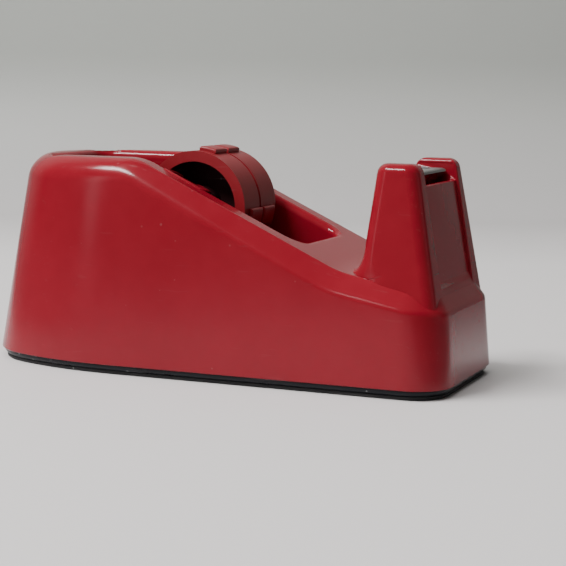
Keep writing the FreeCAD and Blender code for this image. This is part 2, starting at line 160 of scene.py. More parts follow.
def loft(rings: Sequence[Sequence[Vector]], close_last: bool = True) -> bmesh.types.BMesh:
    """Skin closed rings of equal count, one above the other, and fill the first.

    Args:
        rings: Closed rings of points, all with the same count.
        close_last: Whether to fill the last ring.

    Returns:
        The skinned mesh.
    """
    bm = bmesh.new()
    verts = [bm.verts.new(point) for point in rings[0]]
    count = len(verts)
    edges = [bm.edges.new((verts[i], verts[(i + 1) % count])) for i in range(count)]
    bmesh.ops.contextual_create(bm, geom=edges)
    for ring in rings[1:]:
        grown = bmesh.ops.extrude_edge_only(bm, edges=edges)["geom"]
        new_verts = {v for v in grown if isinstance(v, bmesh.types.BMVert)}
        verts = [next(e.other_vert(v) for e in v.link_edges if e.other_vert(v) in new_verts) for v in verts]
        for vert, place in zip(verts, ring):
            vert.co = place
        edges = [bm.edges.get((verts[i], verts[(i + 1) % count])) for i in range(count)]
    if close_last:
        bmesh.ops.contextual_create(bm, geom=edges)
    bm.verts.index_update()
    return bm


def face_outwards(bm: bmesh.types.BMesh) -> None:
    """Merge doubles and point every face outwards."""
    bmesh.ops.remove_doubles(bm, verts=bm.verts, dist=DOUBLE_MM)
    bmesh.ops.recalc_face_normals(bm, faces=bm.faces)


def as_object(bm: bmesh.types.BMesh, name: str) -> bpy.types.Object:
    """Turn a finished bmesh into a linked object.

    Args:
        bm: The mesh, which is freed.
        name: Name of the new object.

    Returns:
        The object, at the origin.
    """
    face_outwards(bm)
    mesh = bpy.data.meshes.new(name)
    bm.to_mesh(mesh)
    bm.free()
    piece = bpy.data.objects.new(name, mesh)
    bpy.context.scene.collection.objects.link(piece)
    return piece


def combine(piece: bpy.types.Object, tool: bmesh.types.BMesh, operation: Operation) -> None:
    """Cut a tool out of a piece, or join it on.

    Args:
        piece: The object to change.
        tool: The other solid, which is used up.
        operation: Whether it is cut or joined.
    """
    helper = as_object(tool, "helper")
    modifier = piece.modifiers.new("combine", "BOOLEAN")
    modifier.solver = "EXACT"
    modifier.operation = operation.value
    modifier.object = helper
    bpy.context.view_layer.update()
    evaluated = piece.evaluated_get(bpy.context.evaluated_depsgraph_get())
    old, piece_mesh = piece.data, bpy.data.meshes.new_from_object(evaluated)
    piece.modifiers.clear()
    piece.data = piece_mesh
    bpy.data.meshes.remove(old)
    helper_mesh = helper.data
    bpy.data.objects.remove(helper)
    bpy.data.meshes.remove(helper_mesh)


def block(low: Sequence[float], high: Sequence[float]) -> bmesh.types.BMesh:
    """Axis-aligned block between two corners.

    Args:
        low: Lowest corner.
        high: Highest corner.

    Returns:
        The block.
    """
    bm = bmesh.new()
    middle = (Vector(low) + Vector(high)) / 2
    size = Vector(high) - Vector(low)
    matrix = Matrix.Translation(middle) @ Matrix.Diagonal((*size, 1.0))
    bmesh.ops.create_cube(bm, size=1.0, matrix=matrix)
    return bm


def thickened(corners: Sequence[tuple[float, float, float]],
              way: tuple[float, float, float]) -> tuple[bmesh.types.BMesh, list[bmesh.types.BMVert]]:
    """Extrude a flat outline.

    Args:
        corners: Corners of the outline.
        way: How far and in which direction it is extruded.

    Returns:
        The solid, and the corners at its far end.
    """
    bm = bmesh.new()
    face = bm.faces.new([bm.verts.new(corner) for corner in corners])
    grown = bmesh.ops.extrude_face_region(bm, geom=[face])["geom"]
    moved = [v for v in grown if isinstance(v, bmesh.types.BMVert)]
    bmesh.ops.translate(bm, verts=moved, vec=way)
    return bm, moved


def prism(points: Sequence[tuple[float, float]], y_low: float, y_high: float) -> bmesh.types.BMesh:
    """Extrude an XZ outline across the body.

    Args:
        points: Corners of the outline as (x, z).
        y_low: Where the prism starts.
        y_high: Where the prism ends.

    Returns:
        The prism.
    """
    return thickened([(x, y_low, z) for x, z in points], (0, y_high - y_low, 0))[0]


def bar(points: Sequence[tuple[float, float]], x_low: float, x_high: float) -> bmesh.types.BMesh:
    """Extrude a YZ outline along the body.

    Args:
        points: Corners of the outline as (y, z).
        x_low: Where the bar starts.
        x_high: Where the bar ends.

    Returns:
        The bar.
    """
    return thickened([(x_low, y, z) for y, z in points], (x_high - x_low, 0, 0))[0]


def round_edges(bm: bmesh.types.BMesh, edges: Iterable[bmesh.types.BMEdge], radius: float,
                segments: int) -> None:
    """Round edges of a bmesh to one radius.

    Args:
        bm: The mesh.
        edges: Edges to round.
        radius: Width of the rounding.
        segments: Number of strips.
    """
    bmesh.ops.bevel(bm, geom=list(edges), offset=radius, offset_type="OFFSET", segments=segments,
                    profile=0.5, affect="EDGES", material=-1, clamp_overlap=True)


def turned(profile: Sequence[tuple[float, float]], centre: Vector, axis: Vector,
           steps: int) -> bmesh.types.BMesh:
    """Spin a closed profile into a ring or a solid of revolution.

    Args:
        profile: Corners as (radius, distance along the axis).
        centre: A point on the axis, where distance is 0.
        axis: Direction of the axis.
        steps: Number of spans round the turn.

    Returns:
        The spun solid.
    """
    bm = bmesh.new()
    across = axis.orthogonal().normalized()
    verts = [bm.verts.new(centre + across * r + axis * d) for r, d in profile]
    count = len(verts)
    edges = [bm.edges.new((verts[i], verts[(i + 1) % count])) for i in range(count)]
    bmesh.ops.spin(bm, geom=verts + edges, cent=centre, axis=axis, angle=2 * math.pi, steps=steps,
                   use_merge=True, dvec=(0, 0, 0))
    return bm


def weigh_edges(piece: bpy.types.Object, skip: Callable[[Vector], bool]) -> None:
    """Clean a mesh and mark its sharp outer edges for rounding.

    Args:
        piece: The object, in millimetres.
        skip: Says whether an edge at a place is left alone.
    """
    bm = bmesh.new()
    bm.from_mesh(piece.data)
    bmesh.ops.remove_doubles(bm, verts=bm.verts, dist=MERGE_MM)
    bmesh.ops.dissolve_degenerate(bm, dist=SLIVER_MM, edges=bm.edges)
    layer = bm.edges.layers.float.new("bevel_weight_edge")
    for edge in bm.edges:
        if len(edge.link_faces) != 2:
            continue
        middle = (edge.verts[0].co + edge.verts[1].co) / 2
        turn_deg = math.degrees(edge.calc_face_angle(0.0))
        if turn_deg > ROUND_ABOVE_DEG and edge.is_convex and not skip(middle):
            edge[layer] = 1.0
        elif not edge.is_convex:
            edge.smooth = turn_deg < CREASE_ABOVE_DEG
    bm.to_mesh(piece.data)
    bm.free()


@dataclass(frozen=True)
class Softening:
    """Fine rounding of a piece's edges."""

    width_mm: float
    angle_deg: float = 40.0
    segments: int = 2
    rounding: Rounding = Rounding.BY_ANGLE


def finish_piece(piece: bpy.types.Object, soft: Softening) -> bpy.types.Object:
    """Scale a piece to metres and give it soft edges and even shading.

    Args:
        piece: The object, modelled in millimetres.
        soft: How its edges are rounded.

    Returns:
        The same object.
    """
    piece.data.transform(Matrix.Scale(MM, 4))
    piece.data.shade_smooth()
    bevel = piece.modifiers.new("soft_edges", "BEVEL")
    bevel.width = soft.width_mm * MM
    bevel.segments = soft.segments
    bevel.limit_method = soft.rounding.value
    bevel.angle_limit = math.radians(soft.angle_deg)
    bevel.use_clamp_overlap = soft.rounding is Rounding.BY_ANGLE
    normals = piece.modifiers.new("even_shading", "WEIGHTED_NORMAL")
    normals.keep_sharp = True
    normals.weight = NORMAL_WEIGHT
    return piece


# -------------------------------------------------------------- shader helpers


@dataclass(frozen=True)
class Wiring:
    """A node tree with short ways to add and join nodes."""

    tree: bpy.types.NodeTree

    def add(self, kind: str, **values: object) -> bpy.types.Node:
        """Add a node and set its properties.

        Args:
            kind: Node type.
            values: Properties by name.

        Returns:
            The node.
        """
        node = self.tree.nodes.new(kind)
        for name, value in values.items():
            setattr(node, name, value)
        return node

    def join(self, source: bpy.types.NodeSocket, target: bpy.types.NodeSocket) -> None:
        """Link an output to an input."""
        self.tree.links.new(source, target)

    def math(self, operation: str, first: object, second: object) -> bpy.types.NodeSocket:
        """Combine two numbers or sockets.

        Args:
            operation: Name of the sum.
            first: Number or socket.
            second: Number or socket.

        Returns:
            The result's socket.
        """
        node = self.add("ShaderNodeMath", operation=operation)
        for socket, value in zip(node.inputs, (first, second)):
            self.feed(value, socket)
        return node.outputs[0]

    def feed(self, value: object, socket: bpy.types.NodeSocket) -> None:
        """Link a socket or set a plain number.

        Args:
            value: Number, colour or socket.
            socket: Input that takes it.
        """
        if isinstance(value, bpy.types.NodeSocket):
            self.join(value, socket)
        else:
            socket.default_value = value

    def spread(self, value: object, low: float, high: float, to_low: float,
               to_high: float) -> bpy.types.NodeSocket:
        """Map a range of numbers to another, held at its ends.

        Args:
            value: Number or socket.
            low: Start of the range.
            high: End of the range.
            to_low: Result at the start.
            to_high: Result at the end.

        Returns:
            The result's socket.
        """
        node = self.add("ShaderNodeMapRange", clamp=True)
        for name, number in zip(("Value", "From Min", "From Max", "To Min", "To Max"),
                                (value, low, high, to_low, to_high)):
            self.feed(number, node.inputs[name])
        return node.outputs["Result"]

    def blend(self, share: object, first: object, second: object) -> bpy.types.NodeSocket:
        """Mix two colours.

        Args:
            share: Number or socket, 0 for the first.
            first: Colour or socket.
            second: Colour or socket.

        Returns:
            The mixed colour's socket.
        """
        node = self.add("ShaderNodeMix", data_type="RGBA")
        for name, value in (("Factor_Float", share), ("A_Color", first), ("B_Color", second)):
            self.feed(value, next(socket for socket in node.inputs if socket.identifier == name))
        return next(socket for socket in node.outputs if socket.identifier == "Result_Color")


@dataclass
class Effects:
    """Shared surface effects, each one a node group built once."""

    broad_detail: float = 3.0
    broad_share: float = 0.7
    fine_detail: float = 6.0
    fine_scale: float = 7.0
    mottle_low: float = 0.33
    mottle_high: float = 0.67
    dot_edge: float = 0.06
    scratch_turns: tuple[float, float] = (0.5, -0.9)
    scratch_tilt: float = 0.3
    scratch_stretch: tuple[float, float, float] = (1.0, 22.0, 14.0)
    scratch_detail: float = 2.0
    scratch_edge: float = 0.03
    grain_detail: float = 4.0
    grain_roughness: float = 0.6

    def __post_init__(self) -> None:
        """Build the groups."""
        self.mottle = self._mottle()
        self.specks = self._specks()
        self.scratches = self._scratches()
        self.grain = self._grain()

    @staticmethod
    def _group(name: str, **inputs: float) -> tuple[Wiring, bpy.types.Node, bpy.types.Node]:
        """Start a group with a place input, number inputs and one output.

        Args:
            name: Name of the group.
            inputs: Defaults of its number inputs, by name.

        Returns:
            The group's wiring, its input node and its output node.
        """
        tree = bpy.data.node_groups.new(name, "ShaderNodeTree")
        tree.interface.new_socket("Place", in_out="INPUT", socket_type="NodeSocketVector")
        for label, default in inputs.items():
            socket = tree.interface.new_socket(label, in_out="INPUT", socket_type="NodeSocketFloat")
            socket.default_value = default
        tree.interface.new_socket("Mask", in_out="OUTPUT", socket_type="NodeSocketFloat")
        wiring = Wiring(tree)
        return wiring, wiring.add("NodeGroupInput"), wiring.add("NodeGroupOutput")

    @staticmethod
    def _noise(wiring: Wiring, place: bpy.types.NodeSocket, scale: bpy.types.NodeSocket, detail: float,
               roughness: float = 0.5) -> bpy.types.NodeSocket:
        """Add a noise pattern.

        Args:
            wiring: The group's wiring.
            place: Where the surface is.
            scale: Scale of the pattern.
            detail: Number of finer layers.
            roughness: Strength of the finer layers.

        Returns:
            The pattern's socket.
        """
        node = wiring.add("ShaderNodeTexNoise")
        node.inputs["Detail"].default_value = detail
        node.inputs["Roughness"].default_value = roughness
        wiring.join(place, node.inputs["Vector"])
        wiring.join(scale, node.inputs["Scale"])
        return node.outputs["Fac"]

    def _mottle(self) -> bpy.types.NodeTree:
        """Broad uneven patches at two sizes.

        Returns:
            The group.
        """
        wiring, source, sink = self._group("mottle", Scale=60.0)
        place, scale = source.outputs["Place"], source.outputs["Scale"]
        broad = self._noise(wiring, place, scale, self.broad_detail)
        fine = self._noise(wiring, place, wiring.math("MULTIPLY", scale, self.fine_scale), self.fine_detail)
        mixed = wiring.math("ADD", wiring.math("MULTIPLY", broad, self.broad_share),
                            wiring.math("MULTIPLY", fine, 1 - self.broad_share))
        wiring.join(wiring.spread(mixed, self.mottle_low, self.mottle_high, 0.0, 1.0), sink.inputs["Mask"])
        return wiring.tree

    def _specks(self) -> bpy.types.NodeTree:
        """Small scattered dots of dust, of uneven size.

        Returns:
            The group.
        """
        wiring, source, sink = self._group("specks", Scale=900.0, Share=0.06, Size=0.28)
        cells = wiring.add("ShaderNodeTexVoronoi", feature="F1")
        wiring.join(source.outputs["Place"], cells.inputs["Vector"])
        wiring.join(source.outputs["Scale"], cells.inputs["Scale"])
        split = wiring.add("ShaderNodeSeparateColor")
        wiring.join(cells.outputs["Color"], split.inputs["Color"])
        chosen = wiring.math("LESS_THAN", split.outputs["Red"], source.outputs["Share"])
        size = wiring.math("MULTIPLY", source.outputs["Size"], split.outputs["Green"])
        inside = wiring.math("SUBTRACT", size, cells.outputs["Distance"])
        dot = wiring.spread(inside, 0.0, self.dot_edge, 0.0, 1.0)
        wiring.join(wiring.math("MULTIPLY", chosen, dot), sink.inputs["Mask"])
        return wiring.tree

    def _scratches(self) -> bpy.types.NodeTree:
        """Fine hairline scuffs in two crossing directions.

        Returns:
            The group.
        """
        wiring, source, sink = self._group("scratches", Scale=60.0, Threshold=0.66)
        lines = []
        for turn in self.scratch_turns:
            mapping = wiring.add("ShaderNodeMapping")
            mapping.inputs["Rotation"].default_value = (turn, self.scratch_tilt * turn, turn)
            mapping.inputs["Scale"].default_value = self.scratch_stretch
            wiring.join(source.outputs["Place"], mapping.inputs["Vector"])
            noise = self._noise(wiring, mapping.outputs["Vector"], source.outputs["Scale"],
                                self.scratch_detail)
            above = wiring.math("SUBTRACT", noise, source.outputs["Threshold"])
            lines.append(wiring.spread(above, 0.0, self.scratch_edge, 0.0, 1.0))
        wiring.join(wiring.math("MAXIMUM", *lines), sink.inputs["Mask"])
        return wiring.tree

    def _grain(self) -> bpy.types.NodeTree:
        """Fine even grain, used as a height.

        Returns:
            The group.
        """
        wiring, source, sink = self._group("grain", Scale=2500.0)
        noise = self._noise(wiring, source.outputs["Place"], source.outputs["Scale"], self.grain_detail,
                            self.grain_roughness)
        wiring.join(noise, sink.inputs["Mask"])
        return wiring.tree


@dataclass(frozen=True)
class Finish:
    """One surface finish: its colours, gloss and how worn it is."""

    name: str
    slot: str
    colour: tuple[float, float, float]
    patch_colour: tuple[float, float, float]
    dust_colour: tuple[float, float, float] = (0.5, 0.45, 0.43)
    metallic: float = 0.0
    roughness: float = 0.3
    roughness_swing: float = 0.06
    scuff_roughness: float = 0.15
    scuff_colour_share: float = 0.1
    dust_share: float = 0.05
    dust_strength: float = 0.5
    mottle_scale: float = 45.0
    grain_scale: float = 2500.0
    grain_height: float = 0.00001
    stretch: tuple[float, float, float] = (1.0, 1.0, 1.0)
    scratch_scale: float = 60.0
    scratch_threshold: float = 0.66
    dust_roughness: float = 0.4
    specular: float = 0.5

    def make(self, effects: Effects) -> bpy.types.Material:
        """Build the material.

        Args:
            effects: The shared groups.

        Returns:
            The material.
        """
        material = bpy.data.materials.new(self.name)
        material.use_nodes = True
        wiring = Wiring(material.node_tree)
        shader = material.node_tree.nodes["Principled BSDF"]
        worn = (*self.dust_colour, 1.0)
        place = wiring.add("ShaderNodeTexCoord").outputs["Object"]
        mottle = self._use(wiring, effects.mottle, place, Scale=self.mottle_scale)
        specks = self._use(wiring, effects.specks, place, Share=self.dust_share)
        scratches = self._use(wiring, effects.scratches, place, Scale=self.scratch_scale,
                              Threshold=self.scratch_threshold)
        mapping = wiring.add("ShaderNodeMapping")
        mapping.inputs["Scale"].default_value = self.stretch
        wiring.join(place, mapping.inputs["Vector"])
        grain = self._use(wiring, effects.grain, mapping.outputs["Vector"], Scale=self.grain_scale)
        colour = wiring.blend(mottle, (*self.colour, 1.0), (*self.patch_colour, 1.0))
        scuffed = wiring.math("MULTIPLY", scratches, self.scuff_colour_share)
        colour = wiring.blend(scuffed, colour, worn)
        dusty = wiring.math("MULTIPLY", specks, self.dust_strength)
        wiring.join(wiring.blend(dusty, colour, worn), shader.inputs["Base Color"])
        rough = wiring.spread(mottle, 0.0, 1.0, self.roughness - self.roughness_swing,
                              self.roughness + self.roughness_swing)
        rough = wiring.math("ADD", rough, wiring.math("MULTIPLY", scratches, self.scuff_roughness))
        rough = wiring.math("ADD", rough, wiring.math("MULTIPLY", dusty, self.dust_roughness))
        wiring.join(rough, shader.inputs["Roughness"])
        bump = wiring.add("ShaderNodeBump")
        bump.inputs["Distance"].default_value = self.grain_height
        wiring.join(grain, bump.inputs["Height"])
        wiring.join(bump.outputs["Normal"], shader.inputs["Normal"])
        shader.inputs["Metallic"].default_value = self.metallic
        shader.inputs["Specular IOR Level"].default_value = self.specular
        return material

    @staticmethod
    def _use(wiring: Wiring, group: bpy.types.NodeTree, place: bpy.types.NodeSocket,
             **values: float) -> bpy.types.NodeSocket:
        """Place a group in a material with its own values.

        Args:
            wiring: The material's wiring.
            group: The effect.
            place: Where the surface is.
            values: The group's inputs by name.

        Returns:
            The mask's socket.
        """
        node = wiring.add("ShaderNodeGroup", node_tree=group)
        wiring.join(place, node.inputs["Place"])
        for name, value in values.items():
            node.inputs[name].default_value = value
        return node.outputs["Mask"]


RED_GLOSS = Finish(
    "red_gloss_moulding", "red_plastic", (0.190, 0.0055, 0.0130), (0.215, 0.0080, 0.0165), specular=0.27,
    roughness=0.17, roughness_swing=0.03, scuff_roughness=0.08, scuff_colour_share=0.012,
    dust_share=0.015, dust_strength=0.06, scratch_scale=75.0, scratch_threshold=0.7,
    grain_scale=900.0, grain_height=0.000003)
HUB_RED = Finish(
    "hub_red_moulding", "hub_plastic", (0.185, 0.0070, 0.0120), (0.21, 0.010, 0.0155), specular=0.35,
    roughness=0.36, roughness_swing=0.05, scuff_roughness=0.1, scuff_colour_share=0.03,
    dust_share=0.03, dust_strength=0.2, scratch_threshold=0.7, grain_scale=1500.0, grain_height=0.000008)
# Painted shade: a near-black red put on the inside of the hub's bore, standing in for the shadow there.
HUB_BORE_PAINTED_SHADE = Finish(
    "hub_bore_painted_shade", "hub_plastic", (0.020, 0.0030, 0.0045), (0.028, 0.0040, 0.0060),
    roughness=0.6, roughness_swing=0.05, dust_share=0.03, dust_strength=0.1, specular=0.2)
BLACK_PLATE = Finish(
    "black_base_moulding", "black_plastic", (0.0045, 0.0050, 0.0075), (0.008, 0.009, 0.013), specular=0.2,
    dust_colour=(0.4, 0.4, 0.42), roughness=0.3, roughness_swing=0.08, scuff_roughness=0.2,
    scuff_colour_share=0.14, dust_share=0.1, dust_strength=0.6, grain_height=0.00001)
BLACK_RUBBER = Finish(
    "black_rubber_sheet", "black_rubber", (0.008, 0.008, 0.009), (0.014, 0.014, 0.015),
    dust_colour=(0.3, 0.29, 0.28), roughness=0.75, roughness_swing=0.08, dust_share=0.16,
    dust_strength=0.45, grain_scale=1800.0, grain_height=0.00004)
BLADE_STEEL = Finish(
    "brushed_blade_steel", "blade_steel", (0.32, 0.32, 0.31), (0.26, 0.26, 0.25), metallic=0.75,
    dust_colour=(0.2, 0.2, 0.2), roughness=0.42, roughness_swing=0.07, scuff_roughness=0.15,
    scuff_colour_share=0.35, dust_share=0.06, grain_scale=700.0, grain_height=0.000012,
    stretch=(1.0, 0.05, 1.0))
AXLE_STEEL = Finish(
    "turned_pin_steel", "axle_steel", (0.5, 0.5, 0.51), (0.42, 0.42, 0.43), metallic=1.0,
    dust_colour=(0.2, 0.2, 0.2), roughness=0.28, roughness_swing=0.06, grain_scale=900.0,
    grain_height=0.000008, stretch=(0.1, 1.0, 0.1))
SCREW_STEEL = Finish(
    "zinc_plated_steel", "screw_steel", (0.47, 0.47, 0.49), (0.4, 0.4, 0.43), metallic=1.0,
    dust_colour=(0.25, 0.24, 0.2), roughness=0.38, roughness_swing=0.1, grain_height=0.00001)
CAST_IRON = Finish(
    "rough_cast_iron", "cast_iron", (0.06, 0.058, 0.057), (0.1, 0.085, 0.075), metallic=0.7,
    dust_colour=(0.2, 0.09, 0.04), roughness=0.7, roughness_swing=0.1, dust_share=0.2,
    grain_scale=1200.0, grain_height=0.00012)


# ------------------------------------------------------------------ body shell


@dataclass(frozen=True)
class Outline:
    """Plan outline: round nose, bulging flanks, straight sides, round front corners."""

    rear_x: float
    front_x: float
    half_width: float
    nose_radius: float
    flank_radius: float
    corner_radius: float
    nose_steps: int = 22
    flank_steps: int = 26
    side_steps: int = 90
    corner_steps: int = 14
    front_steps: int = 8

    def inset(self, amount: float) -> "Outline":
        """The same outline, drawn in all round.

        Args:
            amount: How far it is drawn in.

        Returns:
            The smaller outline.
        """
        return Outline(self.rear_x + amount, self.front_x - amount, self.half_width - amount,
                       self.nose_radius - amount, self.flank_radius - amount, self.corner_radius - amount)

    def half(self) -> list[Vector]:
        """Points from the nose tip round the near side to the front's middle.

        Returns:
            Points in the plan, with negative Y.
        """
        nose = Vector((self.rear_x + self.nose_radius, 0.0))
        reach = self.flank_radius - self.nose_radius
        drop = self.flank_radius - self.half_width
        flank = Vector((nose.x + math.sqrt(reach ** 2 - drop ** 2), drop))
        turn = math.atan2(-drop, nose.x - flank.x)
        points = [Vector((self.rear_x, 0.0))]
        points += arc_points(nose, self.nose_radius, -math.pi, turn, self.nose_steps)
        points += arc_points(flank, self.flank_radius, turn, -math.pi / 2, self.flank_steps)
        corner = Vector((self.front_x - self.corner_radius, self.corner_radius - self.half_width))
        start, run = points[-1].x, corner.x - points[-1].x
        points += [Vector((start + run * (i + 1) / self.side_steps, -self.half_width))
                   for i in range(self.side_steps)]
        points += arc_points(corner, self.corner_radius, -math.pi / 2, 0.0, self.corner_steps)
        last = points[-1].y
        points += [Vector((self.front_x, last * (1 - (i + 1) / self.front_steps)))
                   for i in range(self.front_steps)]
        return points


@dataclass
class BodyShell:
    """The one-piece red moulding, with its well, shoulder and cutter tower."""

    bottom_z: float = 2.0
    top_z: float = 50.0
    plateau_z: float = 45.6
    crease_x: float = -14.2
    crease_blend: float = 2.6
    slope: float = 0.467
    saddle_x: float = 31.0
    saddle_blend: float = 2.5
    front_slope: float = 0.2
    foot: Outline = Outline(-54.35, 54.35, 22.1, 19.0, 65.8, 8.4)
    head: Outline = Outline(-45.63, 50.3, 20.59, 19.0, 65.8, 8.4)
    rim: Outline = Outline(-43.5, 50.7, 18.0, 16.0, 62.8, 6.0)
    shoulder_drop: float = 3.2
    shoulder_drop_front: float = 3.7
    drop_from_x: float = 10.0
    drop_to_x: float = 36.0
    soft_crease: float = 1.5
    fine_crease: float = 0.7
    crisp_crease: float = 0.45
    round_crease: float = 2.15
    round_behind: float = 6.0
    round_ahead: float = 7.0
    fine_from_x: float = -8.0
    fine_to_x: float = 24.0
    wall_steps: int = 8
    crease_steps: int = 7
    tower_top_z: float = 46.2
    tower_foot_z: float = 16.0
    tower_rear_x: float = 37.9
    tower_rear_slope: float = 0.12
    tower_front_x: float = 46.4
    tower_front_slope: float = 0.18
    tower_half_width: float = 16.5
    tower_side_slope: float = 0.08
    tower_rear_corner: float = 3.0
    tower_front_corner: float = 2.6
    tower_rounding: float = 1.8
    smallest_corner: float = 0.5
    tower_corner_steps: int = 10
    tower_steps: int = 8
    flare_steps: int = 12
    cheek_rounding: float = 0.9
    cheek_steps: int = 6
    flare_radius: float = 5.6
    flare_corner: float = 1.5
    flare_bite: float = 0.25
    flare_end_x: float = 36.0
    flare_fade_x: float = 42.0
    channel_half_width: float = 11.6
    landing_z: float = 43.5
    landing_front_x: float = 42.6
    panel_half_width: float = 11.6
    panel_recess: float = 0.6
    panel_top_z: float = 41.7
    panel_wall: float = 1.2
    hollow_wall: float = 0.4
    hollow_behind: float = 1.0
    hollow_depth: float = 2.4
    hollow_lift: float = 3.0
    panel_bottom_z: float = 20.2
    panel_run: float = 2.4
    panel_exit: float = 0.6
    slot_depth: float = 6.0
    well_rear_x: float = -38.0
    well_front_x: float = 20.5
    well_half_width: float = 12.35
    well_floor_z: float = 9.2
    well_corner: float = 3.5
    well_floor_radius: float = 12.0
    well_corner_steps: int = 8
    well_floor_steps: int = 12
    well_spacing: float = 0.9
    lip_rounding: float = 1.8
    lip_turn_deg: float = 84.0
    lip_steps: int = 9
    lip_margin: float = 0.3
    lip_clearance: float = 0.05
    hub_x: float = -5.05
    hub_z: float = 35.3
    bearing_half_length: float = 4.3
    bearing_face_y: float = 9.3
    bearing_lap: float = 2.3
    bearing_tilt: float = 0.9
    bearing_rise: float = 0.35
    bearing_bottom_z: float = 29.0
    bearing_rounding: float = 0.5
    bearing_segments: int = 4
    bearing_margin: float = 1.0
    axle_radius: float = 2.08
    axle_slot_end_y: float = 12.7
    axle_slot_steps: int = 16
    well_reach: float = 10.0
    rear_reach: float = 6.0
    top_reach: float = 5.0
    front_reach: float = 8.0
    panel_low_reach: float = 6.0
    panel_high_reach: float = 9.0
    overcut: float = 1.0
    soft: Softening = Softening(0.3, segments=3, rounding=Rounding.BY_WEIGHT)

    def deck_z(self, x: float) -> float:
        """Height of the top surface: deck, long slope and front slope.

        Args:
            x: Place along the body.

        Returns:
            The height.
        """
        down = self.plateau_z - self.slope * (x - self.crease_x)
        saddle_z = self.plateau_z - self.slope * (self.saddle_x - self.crease_x)
        front = saddle_z - self.front_slope * (x - self.saddle_x)
        if x < self.crease_x - self.crease_blend:
            return self.plateau_z
        if x < self.crease_x + self.crease_blend:
            run = x - self.crease_x + self.crease_blend
            return self.plateau_z - self.slope * run ** 2 / (4 * self.crease_blend)
        if x < self.saddle_x - self.saddle_blend:
            return down
        if x < self.saddle_x + self.saddle_blend:
            run = x - self.saddle_x + self.saddle_blend
            return down + (self.slope - self.front_slope) * run ** 2 / (4 * self.saddle_blend)
        return front

    def section(self, low: Vector, high: Vector, rim: Vector) -> list[Vector]:
        """One upright section of the wall, from its foot to the deck.

        Args:
            low: Plan point of the wall at its foot.
            high: Plan point of the wall at the top height.
            rim: Plan point of the shoulder's upper edge.

        Returns:
            Points from the foot up over the shoulder.
        """
        foot = Vector((low.x, low.y, self.bottom_z))
        head = Vector((high.x, high.y, self.top_z))
        upper = Vector((rim.x, rim.y, self.deck_z(rim.x)))
        ahead = smooth_step(self.drop_from_x, self.drop_to_x, rim.x)
        drop = self.shoulder_drop + (self.shoulder_drop_front - self.shoulder_drop) * ahead
        share = (upper.z - drop - foot.z) / (head.z - foot.z)
        lower = foot.lerp(head, share)
        round_share = 1 - smooth_step(self.crease_x - self.round_behind, self.crease_x + self.round_ahead,
                                      rim.x)
        fine_share = smooth_step(self.fine_from_x, self.fine_to_x, rim.x)
        slope_soft = self.soft_crease + (self.fine_crease - self.soft_crease) * fine_share
        soft = slope_soft + (self.round_crease - slope_soft) * round_share
        crisp = self.crisp_crease + (self.round_crease - self.crisp_crease) * round_share
        up = (head - foot).normalized()
        along = (upper - lower).normalized()
        inward = Vector((upper.x - lower.x, upper.y - lower.y, 0.0)).normalized()
        deck = upper + inward * crisp
        deck.z = self.deck_z(deck.x)
        walls = [foot.lerp(lower - up * soft, i / self.wall_steps) for i in range(self.wall_steps)]
        return (walls + corner_curve(lower - up * soft, lower, lower + along * soft, self.crease_steps)
                + corner_curve(upper - along * crisp, upper, deck, self.crease_steps))

    def hull(self) -> bmesh.types.BMesh:
        """Solid body under the deck, without the tower.

        Returns:
            The closed body.
        """
        halves = zip(self.foot.half(), self.head.half(), self.rim.half())
        near = [self.section(low, high, rim) for low, high, rim in halves]
        far = [[Vector((p.x, -p.y, p.z)) for p in column] for column in near[-2:0:-1]]
        columns = near + far
        rings = [[column[level] for column in columns] for level in range(len(columns[0]))]
        bm = loft(rings, close_last=False)
        count = len(columns)
        top = [v for v in bm.verts if any(e.is_boundary for e in v.link_edges)]
        order = {self.key(point): i for i, point in enumerate(rings[-1])}
        by_index = {order[self.key(v.co)]: v for v in top}
        for i in range(len(near) - 1):
            corners = [by_index[k % count] for k in (i, i + 1, count - i - 1, count - i)]
            bmesh.ops.contextual_create(bm, geom=list(dict.fromkeys(corners)))
        return bm

    @staticmethod
    def key(point: Vector) -> tuple[float, ...]:
        """A point as rounded numbers, to find it again."""
        return tuple(round(number, KEY_DIGITS) for number in point)

    def tower_ring(self, z: float, inset: float) -> list[Vector]:
        """Rounded section of the tower at one height.

        Args:
            z: Height of the section.
            inset: How far it is drawn in.

        Returns:
            The ring's points.
        """
        fall = self.tower_top_z - z
        straight = self.tower_rear_x - self.tower_rear_slope * fall
        flare = max(straight - self.rear_face_x(z), 0.0)
        rear = self.rear_face_x(z) + inset
        front = self.tower_front_x + self.tower_front_slope * fall - inset
        half_w = self.tower_half_width + self.tower_side_slope * fall - inset
        front_r = max(self.tower_front_corner - inset, self.smallest_corner)
        rear_r = max(self.tower_rear_corner - inset + self.flare_corner * flare, self.smallest_corner)
        corners = [(Vector((front - front_r, half_w - front_r)), front_r),
                   (Vector((rear + rear_r, half_w - rear_r)), rear_r),
                   (Vector((rear + rear_r, rear_r - half_w)), rear_r),
                   (Vector((front - front_r, front_r - half_w)), front_r)]
        points = []
        for i, (centre, radius) in enumerate(corners):
            points += quarter_turn(centre, radius, i, self.tower_corner_steps)
        return [Vector((p.x, p.y, z)) for p in points]

    def flare_z(self) -> float:
        """Height where the flare of the tower's rear foot begins."""
        return self.deck_z(self.saddle_x) + self.flare_radius - self.flare_bite

    def rear_face_x(self, z: float) -> float:
        """Rear face of the tower, flared where it meets the deck.

        Args:
            z: Height.

        Returns:
            The face's place along the body.
        """
        if z >= self.flare_z():
            return self.tower_rear_x - self.tower_rear_slope * (self.tower_top_z - z)
        edge = self.tower_rear_x - self.tower_rear_slope * (self.tower_top_z - self.flare_z())
        fall = min(self.flare_z() - z, self.flare_radius)
        return edge - self.flare_radius + math.sqrt(self.flare_radius ** 2 - fall ** 2)

